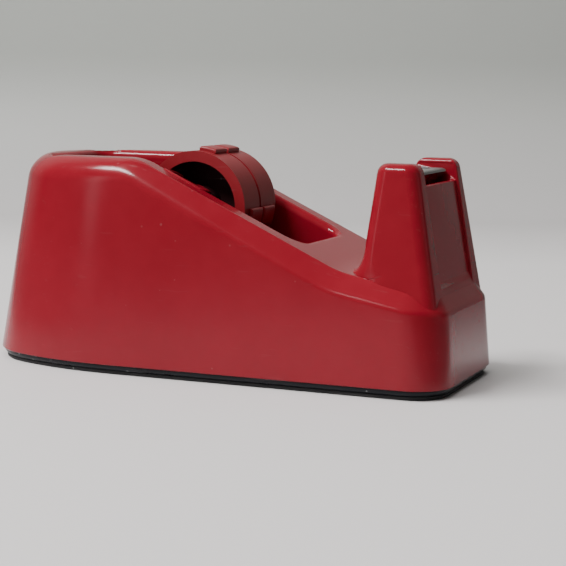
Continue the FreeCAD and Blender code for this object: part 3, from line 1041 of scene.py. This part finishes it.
    def sag(self, x: float) -> float:
        """How far the deck under the tower's rear foot lies below the saddle."""
        fade = 1 - smooth_step(self.flare_end_x, self.flare_fade_x, x)
        return (self.deck_z(x) - self.deck_z(self.saddle_x)) * fade

    def tower(self) -> bmesh.types.BMesh:
        """Closed tower with a flared rear foot and a rounded top.

        Returns:
            The tower.
        """
        flare_z, steps = self.flare_z(), self.tower_steps
        rings = [self.tower_ring(self.tower_foot_z, 0.0)]
        for i in range(self.flare_steps + 1):
            low = math.cos(math.pi / 2 * i / self.flare_steps)
            ring = self.tower_ring(flare_z - self.flare_radius * low, 0.0)
            rings.append([Vector((p.x, p.y, p.z + low * self.sag(p.x))) for p in ring])
        shelf = self.tower_top_z - self.tower_rounding
        rings += [self.tower_ring(flare_z + (shelf - flare_z) * (i + 1) / steps, 0.0) for i in range(steps)]
        for i in range(steps):
            turn = math.pi / 2 * (i + 1) / steps
            rings.append(self.tower_ring(shelf + self.tower_rounding * math.sin(turn),
                                         self.tower_rounding * (1 - math.cos(turn))))
        return loft(rings)

    def well_plan(self) -> list[Vector]:
        """Round-cornered outline of the well.

        Returns:
            The outline's points, close enough together to follow the deck.
        """
        rear, front = self.well_rear_x, self.well_front_x
        half_w, r = self.well_half_width, self.well_corner
        centres = [Vector((front - r, half_w - r)), Vector((rear + r, half_w - r)),
                   Vector((rear + r, r - half_w)), Vector((front - r, r - half_w))]
        points = []
        for i, centre in enumerate(centres):
            corner = quarter_turn(centre, r, i, self.well_corner_steps)
            leap = centres[(i + 1) % len(centres)] - centre
            spans = int(leap.length / self.well_spacing)
            points += corner + [corner[-1] + leap * ((k + 1) / spans) for k in range(spans - 1)]
        return [Vector((p.x, p.y, 0.0)) for p in points]

    def well(self) -> bmesh.types.BMesh:
        """Tape well, with a round floor and a lip that flares on to the deck.

        Returns:
            The space to cut out.
        """
        plan = self.well_plan()
        middle = (self.well_rear_x + self.well_front_x) / 2
        half_length = (self.well_front_x - self.well_rear_x) / 2
        big = self.well_floor_radius
        rings = []
        for i in range(self.well_floor_steps + 1):
            turn = math.pi / 2 * i / self.well_floor_steps
            height = self.well_floor_z + big * (1 - math.cos(turn))
            reach = (half_length - big + big * math.sin(turn)) / half_length
            rings.append([Vector((middle + (p.x - middle) * reach, p.y, height)) for p in plan])
        lip = self.lip_rounding
        rings.append([Vector((p.x, p.y, self.deck_z(p.x) - lip)) for p in plan])
        for i in range(self.lip_steps):
            turn = math.radians(self.lip_turn_deg) * (i + 1) / self.lip_steps
            rings.append(self.pushed(plan, lip * (1 - math.cos(turn)), lip * (math.sin(turn) - 1)))
        rings.append(self.pushed(plan, lip + self.lip_margin, self.lip_clearance))
        rings.append([Vector((p.x, p.y, self.top_z + self.well_reach)) for p in rings[-1]])
        return loft(rings)

    def pushed(self, plan: Sequence[Vector], grow: float, rise: float) -> list[Vector]:
        """The well's outline moved outwards, at a height over the deck.

        Args:
            plan: The well's outline.
            grow: Distance outwards.
            rise: Height over the deck.

        Returns:
            The moved ring.
        """
        low_x, high_x = self.well_rear_x + self.well_corner, self.well_front_x - self.well_corner
        side = self.well_half_width - self.well_corner
        moved = []
        for point in plan:
            core = Vector((min(max(point.x, low_x), high_x), min(max(point.y, -side), side), 0.0))
            place = point + (point - core).normalized() * grow
            moved.append(Vector((place.x, place.y, self.deck_z(place.x) + rise)))
        return moved

    def bearing(self, side: Side) -> bmesh.types.BMesh:
        """Boss on the well wall that holds one end of the axle.

        Args:
            side: Which wall it stands on.

        Returns:
            The boss.
        """
        rear = self.hub_x - self.bearing_half_length
        front = self.hub_x + self.bearing_half_length
        points = [(rear, self.bearing_bottom_z), (rear, self.deck_z(rear) + self.bearing_rise),
                  (front, self.deck_z(front) + self.bearing_rise), (front, self.bearing_bottom_z)]
        ends = sorted((side.value * self.bearing_face_y,
                       side.value * (self.well_half_width + self.bearing_lap)))
        bm = prism(points, *ends)
        upper_z = self.bearing_bottom_z + self.bearing_margin
        inner = [v for v in bm.verts if abs(v.co.y) < self.well_half_width and v.co.z > upper_z]
        bmesh.ops.translate(bm, verts=inner, vec=(0, 0, -self.bearing_tilt))
        tops = [e for e in bm.edges if min(v.co.z for v in e.verts) > upper_z]
        round_edges(bm, tops, self.bearing_rounding, self.bearing_segments)
        return bm

    def axle_slot(self, side: Side) -> bmesh.types.BMesh:
        """Open-topped slot with a round bottom for one end of the axle.

        Args:
            side: Which wall it is in.

        Returns:
            The space to cut out.
        """
        r, steps = self.axle_radius, self.axle_slot_steps
        turns = [math.pi * (1 + i / steps) for i in range(steps + 1)]
        bottom = [(self.hub_x + r * math.cos(a), self.hub_z + r * math.sin(a)) for a in turns]
        points = bottom + [(self.hub_x + r, self.top_z), (self.hub_x - r, self.top_z)]
        ends = sorted((side.value * (self.bearing_face_y - self.overcut), side.value * self.axle_slot_end_y))
        return prism(points, *ends)

    def front_x(self, z: float) -> float:
        """Place along the body of the front of the tower's ribs, at height z."""
        return self.tower_front_x + self.tower_front_slope * (self.tower_top_z - z)

    def channel(self) -> bmesh.types.BMesh:
        """Space between the cheeks over the shelf, with round upper edges.

        Returns:
            The space to cut out.
        """
        half_w, r = self.channel_half_width, self.cheek_rounding
        start = self.tower_top_z - r
        turns = [math.radians(self.lip_turn_deg) * i / self.cheek_steps for i in range(self.cheek_steps + 1)]
        side = [(half_w + r * (1 - math.cos(a)), start + r * math.sin(a)) for a in turns]
        wide = half_w + r + self.lip_margin
        side += [(wide, self.tower_top_z + self.lip_clearance), (wide, self.tower_top_z + self.top_reach)]
        points = [(-half_w, self.landing_z), (half_w, self.landing_z)] + side
        points += [(-y, z) for y, z in reversed(side)]
        ahead_x = self.front_x(self.panel_top_z) + self.front_reach
        return bar(points, self.tower_rear_x - self.rear_reach, ahead_x)

    def over_panel(self) -> bmesh.types.BMesh:
        """Space in front of the shelf, down to the top of the panel.

        Returns:
            The space to cut out.
        """
        ahead_x = self.front_x(self.panel_top_z) + self.front_reach
        return block((self.landing_front_x, -self.channel_half_width, self.panel_top_z),
                     (ahead_x, self.channel_half_width, self.landing_z + self.overcut))

    def slot(self) -> bmesh.types.BMesh:
        """Deep slot between the shelf and the panel.

        Returns:
            The space to cut out.
        """
        back = self.front_x(self.panel_top_z) - self.panel_recess - self.panel_wall
        return block((self.landing_front_x, -self.channel_half_width, self.panel_top_z - self.slot_depth),
                     (back, self.channel_half_width, self.landing_z + self.overcut))

    def hollow(self) -> bmesh.types.BMesh:
        """Hollow of the tower under the slot.

        Returns:
            The space to cut out.
        """
        half_w, x = self.channel_half_width - self.hollow_wall, self.landing_front_x
        top_z = self.panel_top_z - self.slot_depth + self.overcut
        return block((x - self.hollow_behind, -half_w, self.panel_bottom_z + self.hollow_lift),
                     (x + self.hollow_depth, half_w, top_z))

    def panel(self) -> bmesh.types.BMesh:
        """Shallow recess in the tower's front, between its ribs.

        Returns:
            The space to cut out.
        """
        low, high = self.panel_bottom_z, self.tower_top_z + self.top_reach
        ramp = low + self.panel_run
        inner_x = self.front_x(ramp) - self.panel_recess
        exit_x = self.front_x(low) + (self.front_x(low) - inner_x) * self.panel_exit / self.panel_run
        points = [(self.front_x(low) + self.panel_low_reach, low - self.panel_exit), (exit_x, low - self.panel_exit),
                  (inner_x, ramp), (self.front_x(high) - self.panel_recess, high),
                  (self.front_x(high) + self.panel_high_reach, high)]
        return prism(points, -self.panel_half_width, self.panel_half_width)

    def build(self) -> bpy.types.Object:
        """Model the whole moulding.

        Returns:
            The finished piece.
        """
        piece = as_object(self.hull(), "red_body_moulding")
        combine(piece, self.tower(), Operation.JOIN)
        combine(piece, self.well(), Operation.CUT)
        for side in Side:
            combine(piece, self.bearing(side), Operation.JOIN)
            combine(piece, self.axle_slot(side), Operation.CUT)
        for space in (self.panel(), self.channel(), self.over_panel(), self.slot(), self.hollow()):
            combine(piece, space, Operation.CUT)
        weigh_edges(piece, self.near_bearing)
        return finish_piece(piece, self.soft)

    def near_bearing(self, point: Vector) -> bool:
        """True around the bearings, which are rounded already."""
        along = abs(point.x - self.hub_x) < self.bearing_half_length + self.bearing_margin
        return along and self.bearing_bottom_z - self.bearing_margin < point.z


# ------------------------------------------------------------------------- hub


@dataclass
class Hub:
    """Tape hub in two halves, and the pin that it turns on."""

    x: float = -5.05
    z: float = 35.3
    radius: float = 11.75
    bore: float = 9.5
    half_width: float = 8.55
    groove_half: float = 0.45
    groove_depth: float = 0.6
    web: float = 1.6
    boss_radius: float = 4.2
    boss_end: float = 7.0
    axle_bore: float = 2.05
    axle_radius: float = 2.0
    axle_half_length: float = 12.2
    spigot_length: float = 1.5
    spigot_wall: float = 0.9
    spigot_gap: float = 0.05
    web_gap: float = 0.3
    rib_count: int = 4
    rib_first_deg: float = 80.0
    rib_span_deg: float = 18.0
    rib_radius: float = 12.7
    rib_end: float = 6.35
    rib_root: float = 0.6
    rib_steps: int = 8
    rib_rounding: float = 0.5
    rib_segments: int = 4
    rib_edge_deg: float = 50.0
    touch: float = 0.05
    painted_shade_inset: float = 0.3
    turn_steps: int = 96
    pin_steps: int = 64
    pin_chamfer: float = 0.3
    soft: Softening = Softening(0.22, 35.0, 3)
    pin_soft: Softening = Softening(0.08, 30.0, 3)

    def centre(self) -> Vector:
        """Middle of the hub."""
        return Vector((self.x, 0.0, self.z))

    def profile(self, with_spigot: bool) -> list[tuple[float, float]]:
        """Closed section of one half, as radius and distance from the middle.

        Args:
            with_spigot: Whether it carries the locating ring.

        Returns:
            The section's corners.
        """
        web = 0.0 if with_spigot else self.spigot_length + self.web_gap
        inner = [(self.axle_bore, web), (self.axle_bore, self.boss_end),
                 (self.boss_radius, self.boss_end), (self.boss_radius, web + self.web),
                 (self.bore, web + self.web), (self.bore, self.half_width)]
        outer = [(self.radius, self.half_width), (self.radius, self.groove_half),
                 (self.radius - self.groove_depth, self.groove_half),
                 (self.radius - self.groove_depth, 0.0)]
        if with_spigot:
            ring = self.bore - self.spigot_gap
            tail = [(ring, 0.0), (ring, -self.spigot_length),
                    (ring - self.spigot_wall, -self.spigot_length), (ring - self.spigot_wall, 0.0)]
        else:
            tail = [(self.bore, 0.0), (self.bore, web)]
        return inner + outer + tail

    def rib(self, turn: float) -> bmesh.types.BMesh:
        """One raised rib that grips the tape's core.

        Args:
            turn: Angle of its middle in radians.

        Returns:
            The rib.
        """
        half, steps = math.radians(self.rib_span_deg) / 2, self.rib_steps
        root = self.radius - self.rib_root
        crown = [turn + half * (2 * i / steps - 1) for i in range(steps + 1)]
        points = [(root, turn - half)] + [(self.rib_radius, a) for a in crown] + [(root, turn + half)]
        outline = [(self.x + r * math.cos(a), self.z + r * math.sin(a)) for r, a in points]
        bm = prism(outline, self.groove_half, self.rib_end)
        tops = [e for e in bm.edges if e.calc_face_angle(0.0) > math.radians(self.rib_edge_deg)
                and all(self.distance(v.co) > self.rib_radius - self.touch for v in e.verts)]
        round_edges(bm, tops, self.rib_rounding, self.rib_segments)
        return bm

    def distance(self, point: Vector) -> float:
        """How far a point is from the hub's axis."""
        return math.hypot(point.x - self.x, point.z - self.z)

    def half(self, side: Side) -> bpy.types.Object:
        """One half of the hub.

        Args:
            side: Which side it is on.

        Returns:
            The finished piece.
        """
        name = f"{side.name.lower()}_hub_moulding"
        body = turned(self.profile(side is Side.FAR), self.centre(), Vector((0, 1, 0)), self.turn_steps)
        piece = as_object(body, name)
        for i in range(self.rib_count):
            turn = math.radians(self.rib_first_deg) + 2 * math.pi * i / self.rib_count
            combine(piece, self.rib(turn), Operation.JOIN)
        if side is Side.NEAR:
            bm = bmesh.new()
            bm.from_mesh(piece.data)
            bmesh.ops.scale(bm, vec=(1, -1, 1), verts=bm.verts)
            face_outwards(bm)
            bm.to_mesh(piece.data)
            bm.free()
        self.paint_bore_shade(piece)
        return finish_piece(piece, self.soft)

    def paint_bore_shade(self, piece: bpy.types.Object) -> None:
        """Give the faces inside the bore the second material slot, which holds the bore's painted shade.

        Args:
            piece: One half of the hub, in millimetres.
        """
        # Painted shade: faces deep in the bore get the near-black material in place of the bore's shadow.
        for face in piece.data.polygons:
            in_bore = self.distance(face.center) < self.bore + self.touch
            deep = abs(face.center.y) < self.half_width - self.painted_shade_inset
            face.material_index = int(in_bore and deep)

    def pin(self) -> bpy.types.Object:
        """Steel pin with chamfered ends.

        Returns:
            The finished piece.
        """
        end, r, cut = self.axle_half_length, self.axle_radius, self.pin_chamfer
        profile = [(0.0, -end), (r - cut, -end), (r, cut - end), (r, end - cut), (r - cut, end), (0.0, end)]
        bm = turned(profile, self.centre(), Vector((0, 1, 0)), self.pin_steps)
        return finish_piece(as_object(bm, "steel_pin"), self.pin_soft)


# ------------------------------------------------------------- blade and base


@dataclass
class Cutter:
    """Toothed blade and its two rivets."""

    rear_x: float = 38.6
    front_x: float = 44.6
    half_width: float = 11.4
    bottom_z: float = 43.5
    thickness: float = 0.7
    tooth_count: int = 19
    tooth_depth: float = 0.9
    grind: float = 0.28
    rivet_x: float = 40.4
    rivet_y: float = 7.5
    rivet_radius: float = 1.5
    rivet_height: float = 0.35
    rivet_depth: float = 1.6
    rivet_steps: int = 40
    shank_radius: float = 0.8
    dome_steps: int = 6
    soft: Softening = Softening(0.05)

    def blade(self) -> bpy.types.Object:
        """Strip of steel with ground teeth along its front.

        Returns:
            The finished piece.
        """
        pitch = 2 * self.half_width / self.tooth_count
        root = self.front_x - self.tooth_depth
        outline = [(self.rear_x, self.half_width), (self.rear_x, -self.half_width)]
        for i in range(self.tooth_count):
            start = -self.half_width + i * pitch
            outline += [(root, start), (self.front_x, start + pitch / 2)]
        outline.append((root, self.half_width))
        bm, raised = thickened([(x, y, self.bottom_z) for x, y in outline], (0, 0, self.thickness))
        tips = [v for v in raised if v.co.x > root + self.tooth_depth / 2]
        bmesh.ops.translate(bm, verts=tips, vec=(0, 0, -self.grind))
        bmesh.ops.triangulate(bm, faces=[f for f in bm.faces if len(f.verts) > 4])
        return finish_piece(as_object(bm, "toothed_blade"), self.soft)

    def rivets(self) -> bpy.types.Object:
        """The two domed rivets as one piece.

        Returns:
            The finished piece.
        """
        top, tail = self.bottom_z + self.thickness, -self.rivet_depth - self.thickness
        turns = [math.pi / 2 * i / self.dome_steps for i in range(self.dome_steps)]
        dome = [(self.rivet_radius * math.cos(a), self.rivet_height * math.sin(a)) for a in turns]
        profile = [(0.0, tail), (self.shank_radius, tail), (self.shank_radius, 0.0), *dome,
                   (0.0, self.rivet_height)]
        near, far = [turned(profile, Vector((self.rivet_x, side.value * self.rivet_y, top)),
                            Vector((0, 0, 1)), self.rivet_steps) for side in Side]
        piece = as_object(near, "blade_rivet_pair")
        combine(piece, far, Operation.JOIN)
        return finish_piece(piece, self.soft)


@dataclass
class Base:
    """Black base plate and the rubber sheet under it."""

    foot: Outline = Outline(-53.75, 53.75, 21.5, 18.4, 65.2, 7.8)
    middle: Outline = Outline(-52.0, 52.0, 19.75, 16.65, 63.45, 6.05)
    sheet: Outline = Outline(-53.15, 53.15, 20.9, 17.8, 64.6, 7.2)
    pad_thickness: float = 0.8
    plate_edge_z: float = 2.0
    plate_top_z: float = 2.8
    edge_rounding: float = 0.9
    edge_steps: int = 6
    plate_soft: Softening = Softening(0.1)
    sheet_soft: Softening = Softening(0.15)

    @staticmethod
    def ring(outline: Outline, z: float) -> list[Vector]:
        """Full ring of an outline at one height.

        Args:
            outline: The plan outline.
            z: Height.

        Returns:
            The ring's points.
        """
        near = outline.half()
        far = [Vector((p.x, -p.y)) for p in near[-2:0:-1]]
        return [Vector((p.x, p.y, z)) for p in near + far]

    def plate(self) -> bpy.types.Object:
        """Base plate with a rounded lower edge and a raised middle.

        Returns:
            The finished piece.
        """
        low, edge = self.pad_thickness, self.plate_edge_z
        rings = [self.ring(self.middle, low)]
        for i in range(self.edge_steps + 1):
            turn = math.pi / 2 * i / self.edge_steps
            outline = self.foot.inset(self.edge_rounding * (1 - math.sin(turn)))
            rings.append(self.ring(outline, low + self.edge_rounding * (1 - math.cos(turn))))
        rings += [self.ring(self.foot, edge), self.ring(self.middle, edge),
                  self.ring(self.middle, self.plate_top_z)]
        return finish_piece(as_object(loft(rings), "black_base_plate"), self.plate_soft)

    def rubber(self) -> bpy.types.Object:
        """Thin rubber sheet that the dispenser stands on.

        Returns:
            The finished piece.
        """
        rings = [self.ring(self.sheet, 0.0), self.ring(self.sheet, self.pad_thickness)]
        return finish_piece(as_object(loft(rings), "rubber_sheet"), self.sheet_soft)


# ----------------------------------------------------------------------- stage


@dataclass(frozen=True)
class Lamp:
    """Soft rectangular lamp aimed at the object."""

    name: str
    place: tuple[float, float, float]
    size: tuple[float, float]
    power: float
    seen_in_gloss: bool = True
    aim: tuple[float, float, float] = (0.0, 0.0, 0.03)

    def hang(self) -> None:
        """Put the lamp in the scene."""
        data = bpy.data.lights.new(self.name, "AREA")
        data.shape = "RECTANGLE"
        data.size, data.size_y = self.size
        data.energy = self.power
        lamp = bpy.data.objects.new(self.name, data)
        lamp.location = self.place
        way = Vector(self.aim) - Vector(self.place)
        lamp.rotation_euler = way.to_track_quat("-Z", "Y").to_euler()
        lamp.visible_glossy = self.seen_in_gloss
        bpy.context.scene.collection.objects.link(lamp)


@dataclass(frozen=True)
class Fade:
    """A smooth change between two places."""

    start: float
    end: float
    at_start: float
    at_end: float

    def over(self, wiring: Wiring, value: bpy.types.NodeSocket) -> bpy.types.NodeSocket:
        """The fade's value for a place."""
        return wiring.spread(value, self.start, self.end, self.at_start, self.at_end)


@dataclass
class Studio:
    """Pale floor with a curved backdrop, soft lights and the camera."""

    camera_place: tuple[float, float, float] = (0.1424, -0.32656, 0.06417)
    camera_turn_deg: float = 21.739
    camera_down_deg: float = 7.338
    camera_roll_deg: float = 0.834
    lens: float = 104.93
    sensor_width: float = 36.0
    clip_start: float = 0.01
    wall_distance: float = 0.78
    wall_height: float = 2.0
    sweep_radius: float = 0.07
    sweep_steps: int = 16
    floor_behind: float = -3.0
    floor_half_width: float = 4.0
    floor_colour: tuple[float, float, float] = (0.60, 0.575, 0.57)
    floor_roughness: float = 0.6
    wall_colour: tuple[float, float, float] = (0.36, 0.37, 0.345)
    wall_painted_falloff: float = 0.3
    world_colour: tuple[float, float, float] = (0.80, 0.82, 0.80)
    side_lean: tuple[float, float] = (0.986, 0.169)
    # Painted shade: these fades darken the floor and wall towards the camera, the far end and both sides, in place
    # of the room's light falling off.
    back_painted_falloff: Fade = Fade(0.2, 0.4, 1.0, 0.66)
    front_painted_falloff: Fade = Fade(-0.6, -0.2, 0.4, 1.0)
    right_painted_falloff: Fade = Fade(0.078, 0.13, 1.0, 0.3)
    left_painted_falloff: Fade = Fade(-0.17, -0.1, 0.2, 1.0)
    behind_fade: Fade = Fade(-0.3, 0.8, 0.12, 0.6)
    overhead_fade: Fade = Fade(0.15, 0.7, 1.0, 0.28)
    lamps: tuple[Lamp, ...] = (
        Lamp("ceiling_lamp", (-0.45, -0.50, 0.92), (0.62, 0.12), 18.0),
        Lamp("left_window", (-0.92, -1.04, 0.3), (0.14, 0.6), 0.6),
        Lamp("soft_ceiling", (-0.3, -0.3, 1.3), (1.8, 1.8), 26.0, seen_in_gloss=False),
        Lamp("front_fill", (-0.6, -1.2, 0.5), (1.2, 0.8), 2.5, seen_in_gloss=False))

    def camera(self) -> None:
        """Place the camera."""
        data = bpy.data.cameras.new("camera")
        data.lens = self.lens
        data.sensor_width = self.sensor_width
        data.clip_start = self.clip_start
        camera = bpy.data.objects.new("camera", data)
        turn = (Matrix.Rotation(math.radians(self.camera_turn_deg), 4, "Z")
                @ Matrix.Rotation(math.radians(90 - self.camera_down_deg), 4, "X")
                @ Matrix.Rotation(math.radians(self.camera_roll_deg), 4, "Z"))
        camera.matrix_world = Matrix.Translation(self.camera_place) @ turn
        bpy.context.scene.collection.objects.link(camera)
        bpy.context.scene.camera = camera

    def backdrop(self) -> None:
        """Floor that sweeps up into a wall behind the object."""
        turn = math.radians(self.camera_turn_deg)
        ahead = Vector((-math.sin(turn), math.cos(turn)))
        wide = Vector((ahead.y, -ahead.x))
        r, reach = self.sweep_radius, self.wall_distance
        turns = [math.pi / 2 * (i + 1) / self.sweep_steps for i in range(self.sweep_steps)]
        profile = [(self.floor_behind, 0.0), (reach - r, 0.0)]
        profile += [(reach - r + r * math.sin(a), r - r * math.cos(a)) for a in turns]
        profile.append((reach, self.wall_height))
        left = Vector(self.camera_place[:2]) - wide * self.floor_half_width
        start = [left + ahead * d for d, _ in profile]
        bm = bmesh.new()
        verts = [bm.verts.new((p.x, p.y, h)) for p, (_, h) in zip(start, profile)]
        edges = [bm.edges.new(pair) for pair in zip(verts, verts[1:])]
        grown = bmesh.ops.extrude_edge_only(bm, edges=edges)["geom"]
        moved = [v for v in grown if isinstance(v, bmesh.types.BMVert)]
        bmesh.ops.translate(bm, verts=moved, vec=(2 * self.floor_half_width * wide).to_3d())
        mesh = bpy.data.meshes.new("floor_sweep")
        bm.to_mesh(mesh)
        bm.free()
        mesh.shade_smooth()
        floor = bpy.data.objects.new("floor_sweep", mesh)
        bpy.context.scene.collection.objects.link(floor)
        material = bpy.data.materials.new("pale_floor")
        material.use_nodes = True
        shader = material.node_tree.nodes["Principled BSDF"]
        wiring = Wiring(material.node_tree)
        wiring.join(self.painted_floor_falloff(wiring, ahead, wide), shader.inputs["Base Color"])
        shader.inputs["Roughness"].default_value = self.floor_roughness
        mesh.materials.append(material)

    def painted_floor_falloff(self, wiring: Wiring, ahead: Vector, wide: Vector) -> bpy.types.NodeSocket:
        """Floor colour with painted shade: pale round the object and dimmer away from it, as if the room's light
        fell off.

        Args:
            wiring: The floor's wiring.
            ahead: Direction in which the camera looks, in the plan.
            wide: Direction to its right, in the plan.

        Returns:
            The colour's socket.
        """
        place = wiring.add("ShaderNodeTexCoord").outputs["Object"]
        split = wiring.add("ShaderNodeSeparateXYZ")
        wiring.join(place, split.inputs[0])
        along = self.dot(wiring, place, ahead)
        ends = wiring.math("MULTIPLY", self.back_painted_falloff.over(wiring, along),
                           self.front_painted_falloff.over(wiring, along))
        straight, lean = self.side_lean
        right = self.right_painted_falloff.over(wiring, self.dot(wiring, place, wide * straight - ahead * lean))
        left = self.left_painted_falloff.over(wiring, self.dot(wiring, place, wide * straight + ahead * lean))
        sides = wiring.math("MULTIPLY", right, left)
        wall = wiring.spread(split.outputs["Z"], 0.0, self.sweep_radius, 0.0, 1.0)
        black = (0.0, 0.0, 0.0, 1.0)
        # Painted shade: floor and wall dimmed towards their edges.
        dim = wiring.math("MULTIPLY", sides, ends)
        floor = wiring.blend(dim, black, (*self.floor_colour, 1.0))
        upright = wiring.blend(wiring.math("POWER", sides, self.wall_painted_falloff), black,
                               (*self.wall_colour, 1.0))
        return wiring.blend(wall, floor, upright)

    @staticmethod
    def dot(wiring: Wiring, place: bpy.types.NodeSocket, direction: Vector) -> bpy.types.NodeSocket:
        """Distance of a place along a direction in the plan.

        Args:
            wiring: The floor's wiring.
            place: Where the surface is.
            direction: Direction in the plan.

        Returns:
            The distance's socket.
        """
        node = wiring.add("ShaderNodeVectorMath", operation="DOT_PRODUCT")
        wiring.join(place, node.inputs[0])
        node.inputs[1].default_value = (direction.x, direction.y, 0.0)
        return node.outputs["Value"]

    def lights(self) -> None:
        """Even sky light, a ceiling lamp and a window to the left."""
        world = bpy.data.worlds.new("even_light")
        bpy.context.scene.world = world
        world.use_nodes = True
        sky = world.node_tree.nodes["Background"]
        sky.inputs["Color"].default_value = (*self.world_colour, 1.0)
        self.grade(world.node_tree, sky)
        for lamp in self.lamps:
            lamp.hang()

    def grade(self, tree: bpy.types.NodeTree, sky: bpy.types.Node) -> None:
        """Make the room pale behind the object and darker overhead and in front.

        Args:
            tree: The world's nodes.
            sky: Its background node.
        """
        wiring = Wiring(tree)
        split = wiring.add("ShaderNodeSeparateXYZ")
        wiring.join(wiring.add("ShaderNodeTexCoord").outputs["Generated"], split.inputs[0])
        behind = self.behind_fade.over(wiring, split.outputs["Y"])
        over = self.overhead_fade.over(wiring, split.outputs["Z"])
        wiring.join(wiring.math("MULTIPLY", behind, over), sky.inputs["Strength"])

    def build(self) -> None:
        """Set the whole stage."""
        self.camera()
        self.backdrop()
        self.lights()


# ------------------------------------------------------------------------ main


@dataclass
class Dresser:
    """Gives pieces their materials and ties them to the frame."""

    effects: Effects = field(default_factory=Effects)
    made: dict[str, bpy.types.Material] = field(default_factory=dict)

    def material(self, finish: Finish) -> bpy.types.Material:
        """The material of a finish, built once.

        Args:
            finish: The finish.

        Returns:
            Its material.
        """
        if finish.name not in self.made:
            self.made[finish.name] = finish.make(self.effects)
        return self.made[finish.name]

    def dress(self, piece: bpy.types.Object, *finishes: Finish) -> None:
        """Give a piece one material slot for each finish, in order.

        Args:
            piece: The object.
            finishes: Its finishes, the main one first.
        """
        indices = [face.material_index for face in piece.data.polygons]
        piece.data.materials.clear()
        for finish in finishes:
            piece.data.materials.append(self.material(finish))
        piece.data.polygons.foreach_set("material_index", [min(i, len(finishes) - 1) for i in indices])

    def place(self, piece: bpy.types.Object, body: str, node: str, *finishes: Finish) -> None:
        """Dress a new piece, let it ride on a body and stand for a CAD node.

        Args:
            piece: The object.
            body: Body that it moves with.
            node: CAD node that it stands for.
            finishes: Its finishes, the main one first.
        """
        self.dress(piece, *finishes)
        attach(piece, body)
        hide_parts(node)
        LOG.info("%s stands for %s on %s", piece.name, node, body)


def main() -> None:
    """Build every piece on its frame."""
    logging.basicConfig(level=logging.INFO)
    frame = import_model()
    dresser = Dresser()
    shell, hub, cutter, base = BodyShell(), Hub(), Cutter(), Base()
    dresser.place(shell.build(), "body", "body_shell", RED_GLOSS)
    dresser.place(base.plate(), "body", "base_plate", BLACK_PLATE)
    dresser.place(base.rubber(), "body", "anti_slip_pad", BLACK_RUBBER)
    dresser.place(cutter.blade(), "body", "cutter_blade", BLADE_STEEL)
    dresser.place(cutter.rivets(), "body", "blade_rivets", SCREW_STEEL)
    dresser.place(hub.pin(), "axle", "hub_axle", AXLE_STEEL)
    # The second finish of each hub half is painted shade inside the bore.
    dresser.place(hub.half(Side.NEAR), "hub", "hub_near_half", HUB_RED, HUB_BORE_PAINTED_SHADE)
    dresser.place(hub.half(Side.FAR), "hub", "hub_far_half", HUB_RED, HUB_BORE_PAINTED_SHADE)
    for name, finish in (("floor_weight", CAST_IRON), ("front_weight", CAST_IRON),
                         ("base_screws", SCREW_STEEL), ("weight_screws", SCREW_STEEL)):
        dresser.dress(frame["nodes"][name], finish)
        LOG.info("%s keeps its shape and gets %s", name, finish.name)
    Studio().build()


if __name__ == "__main__":
    main()
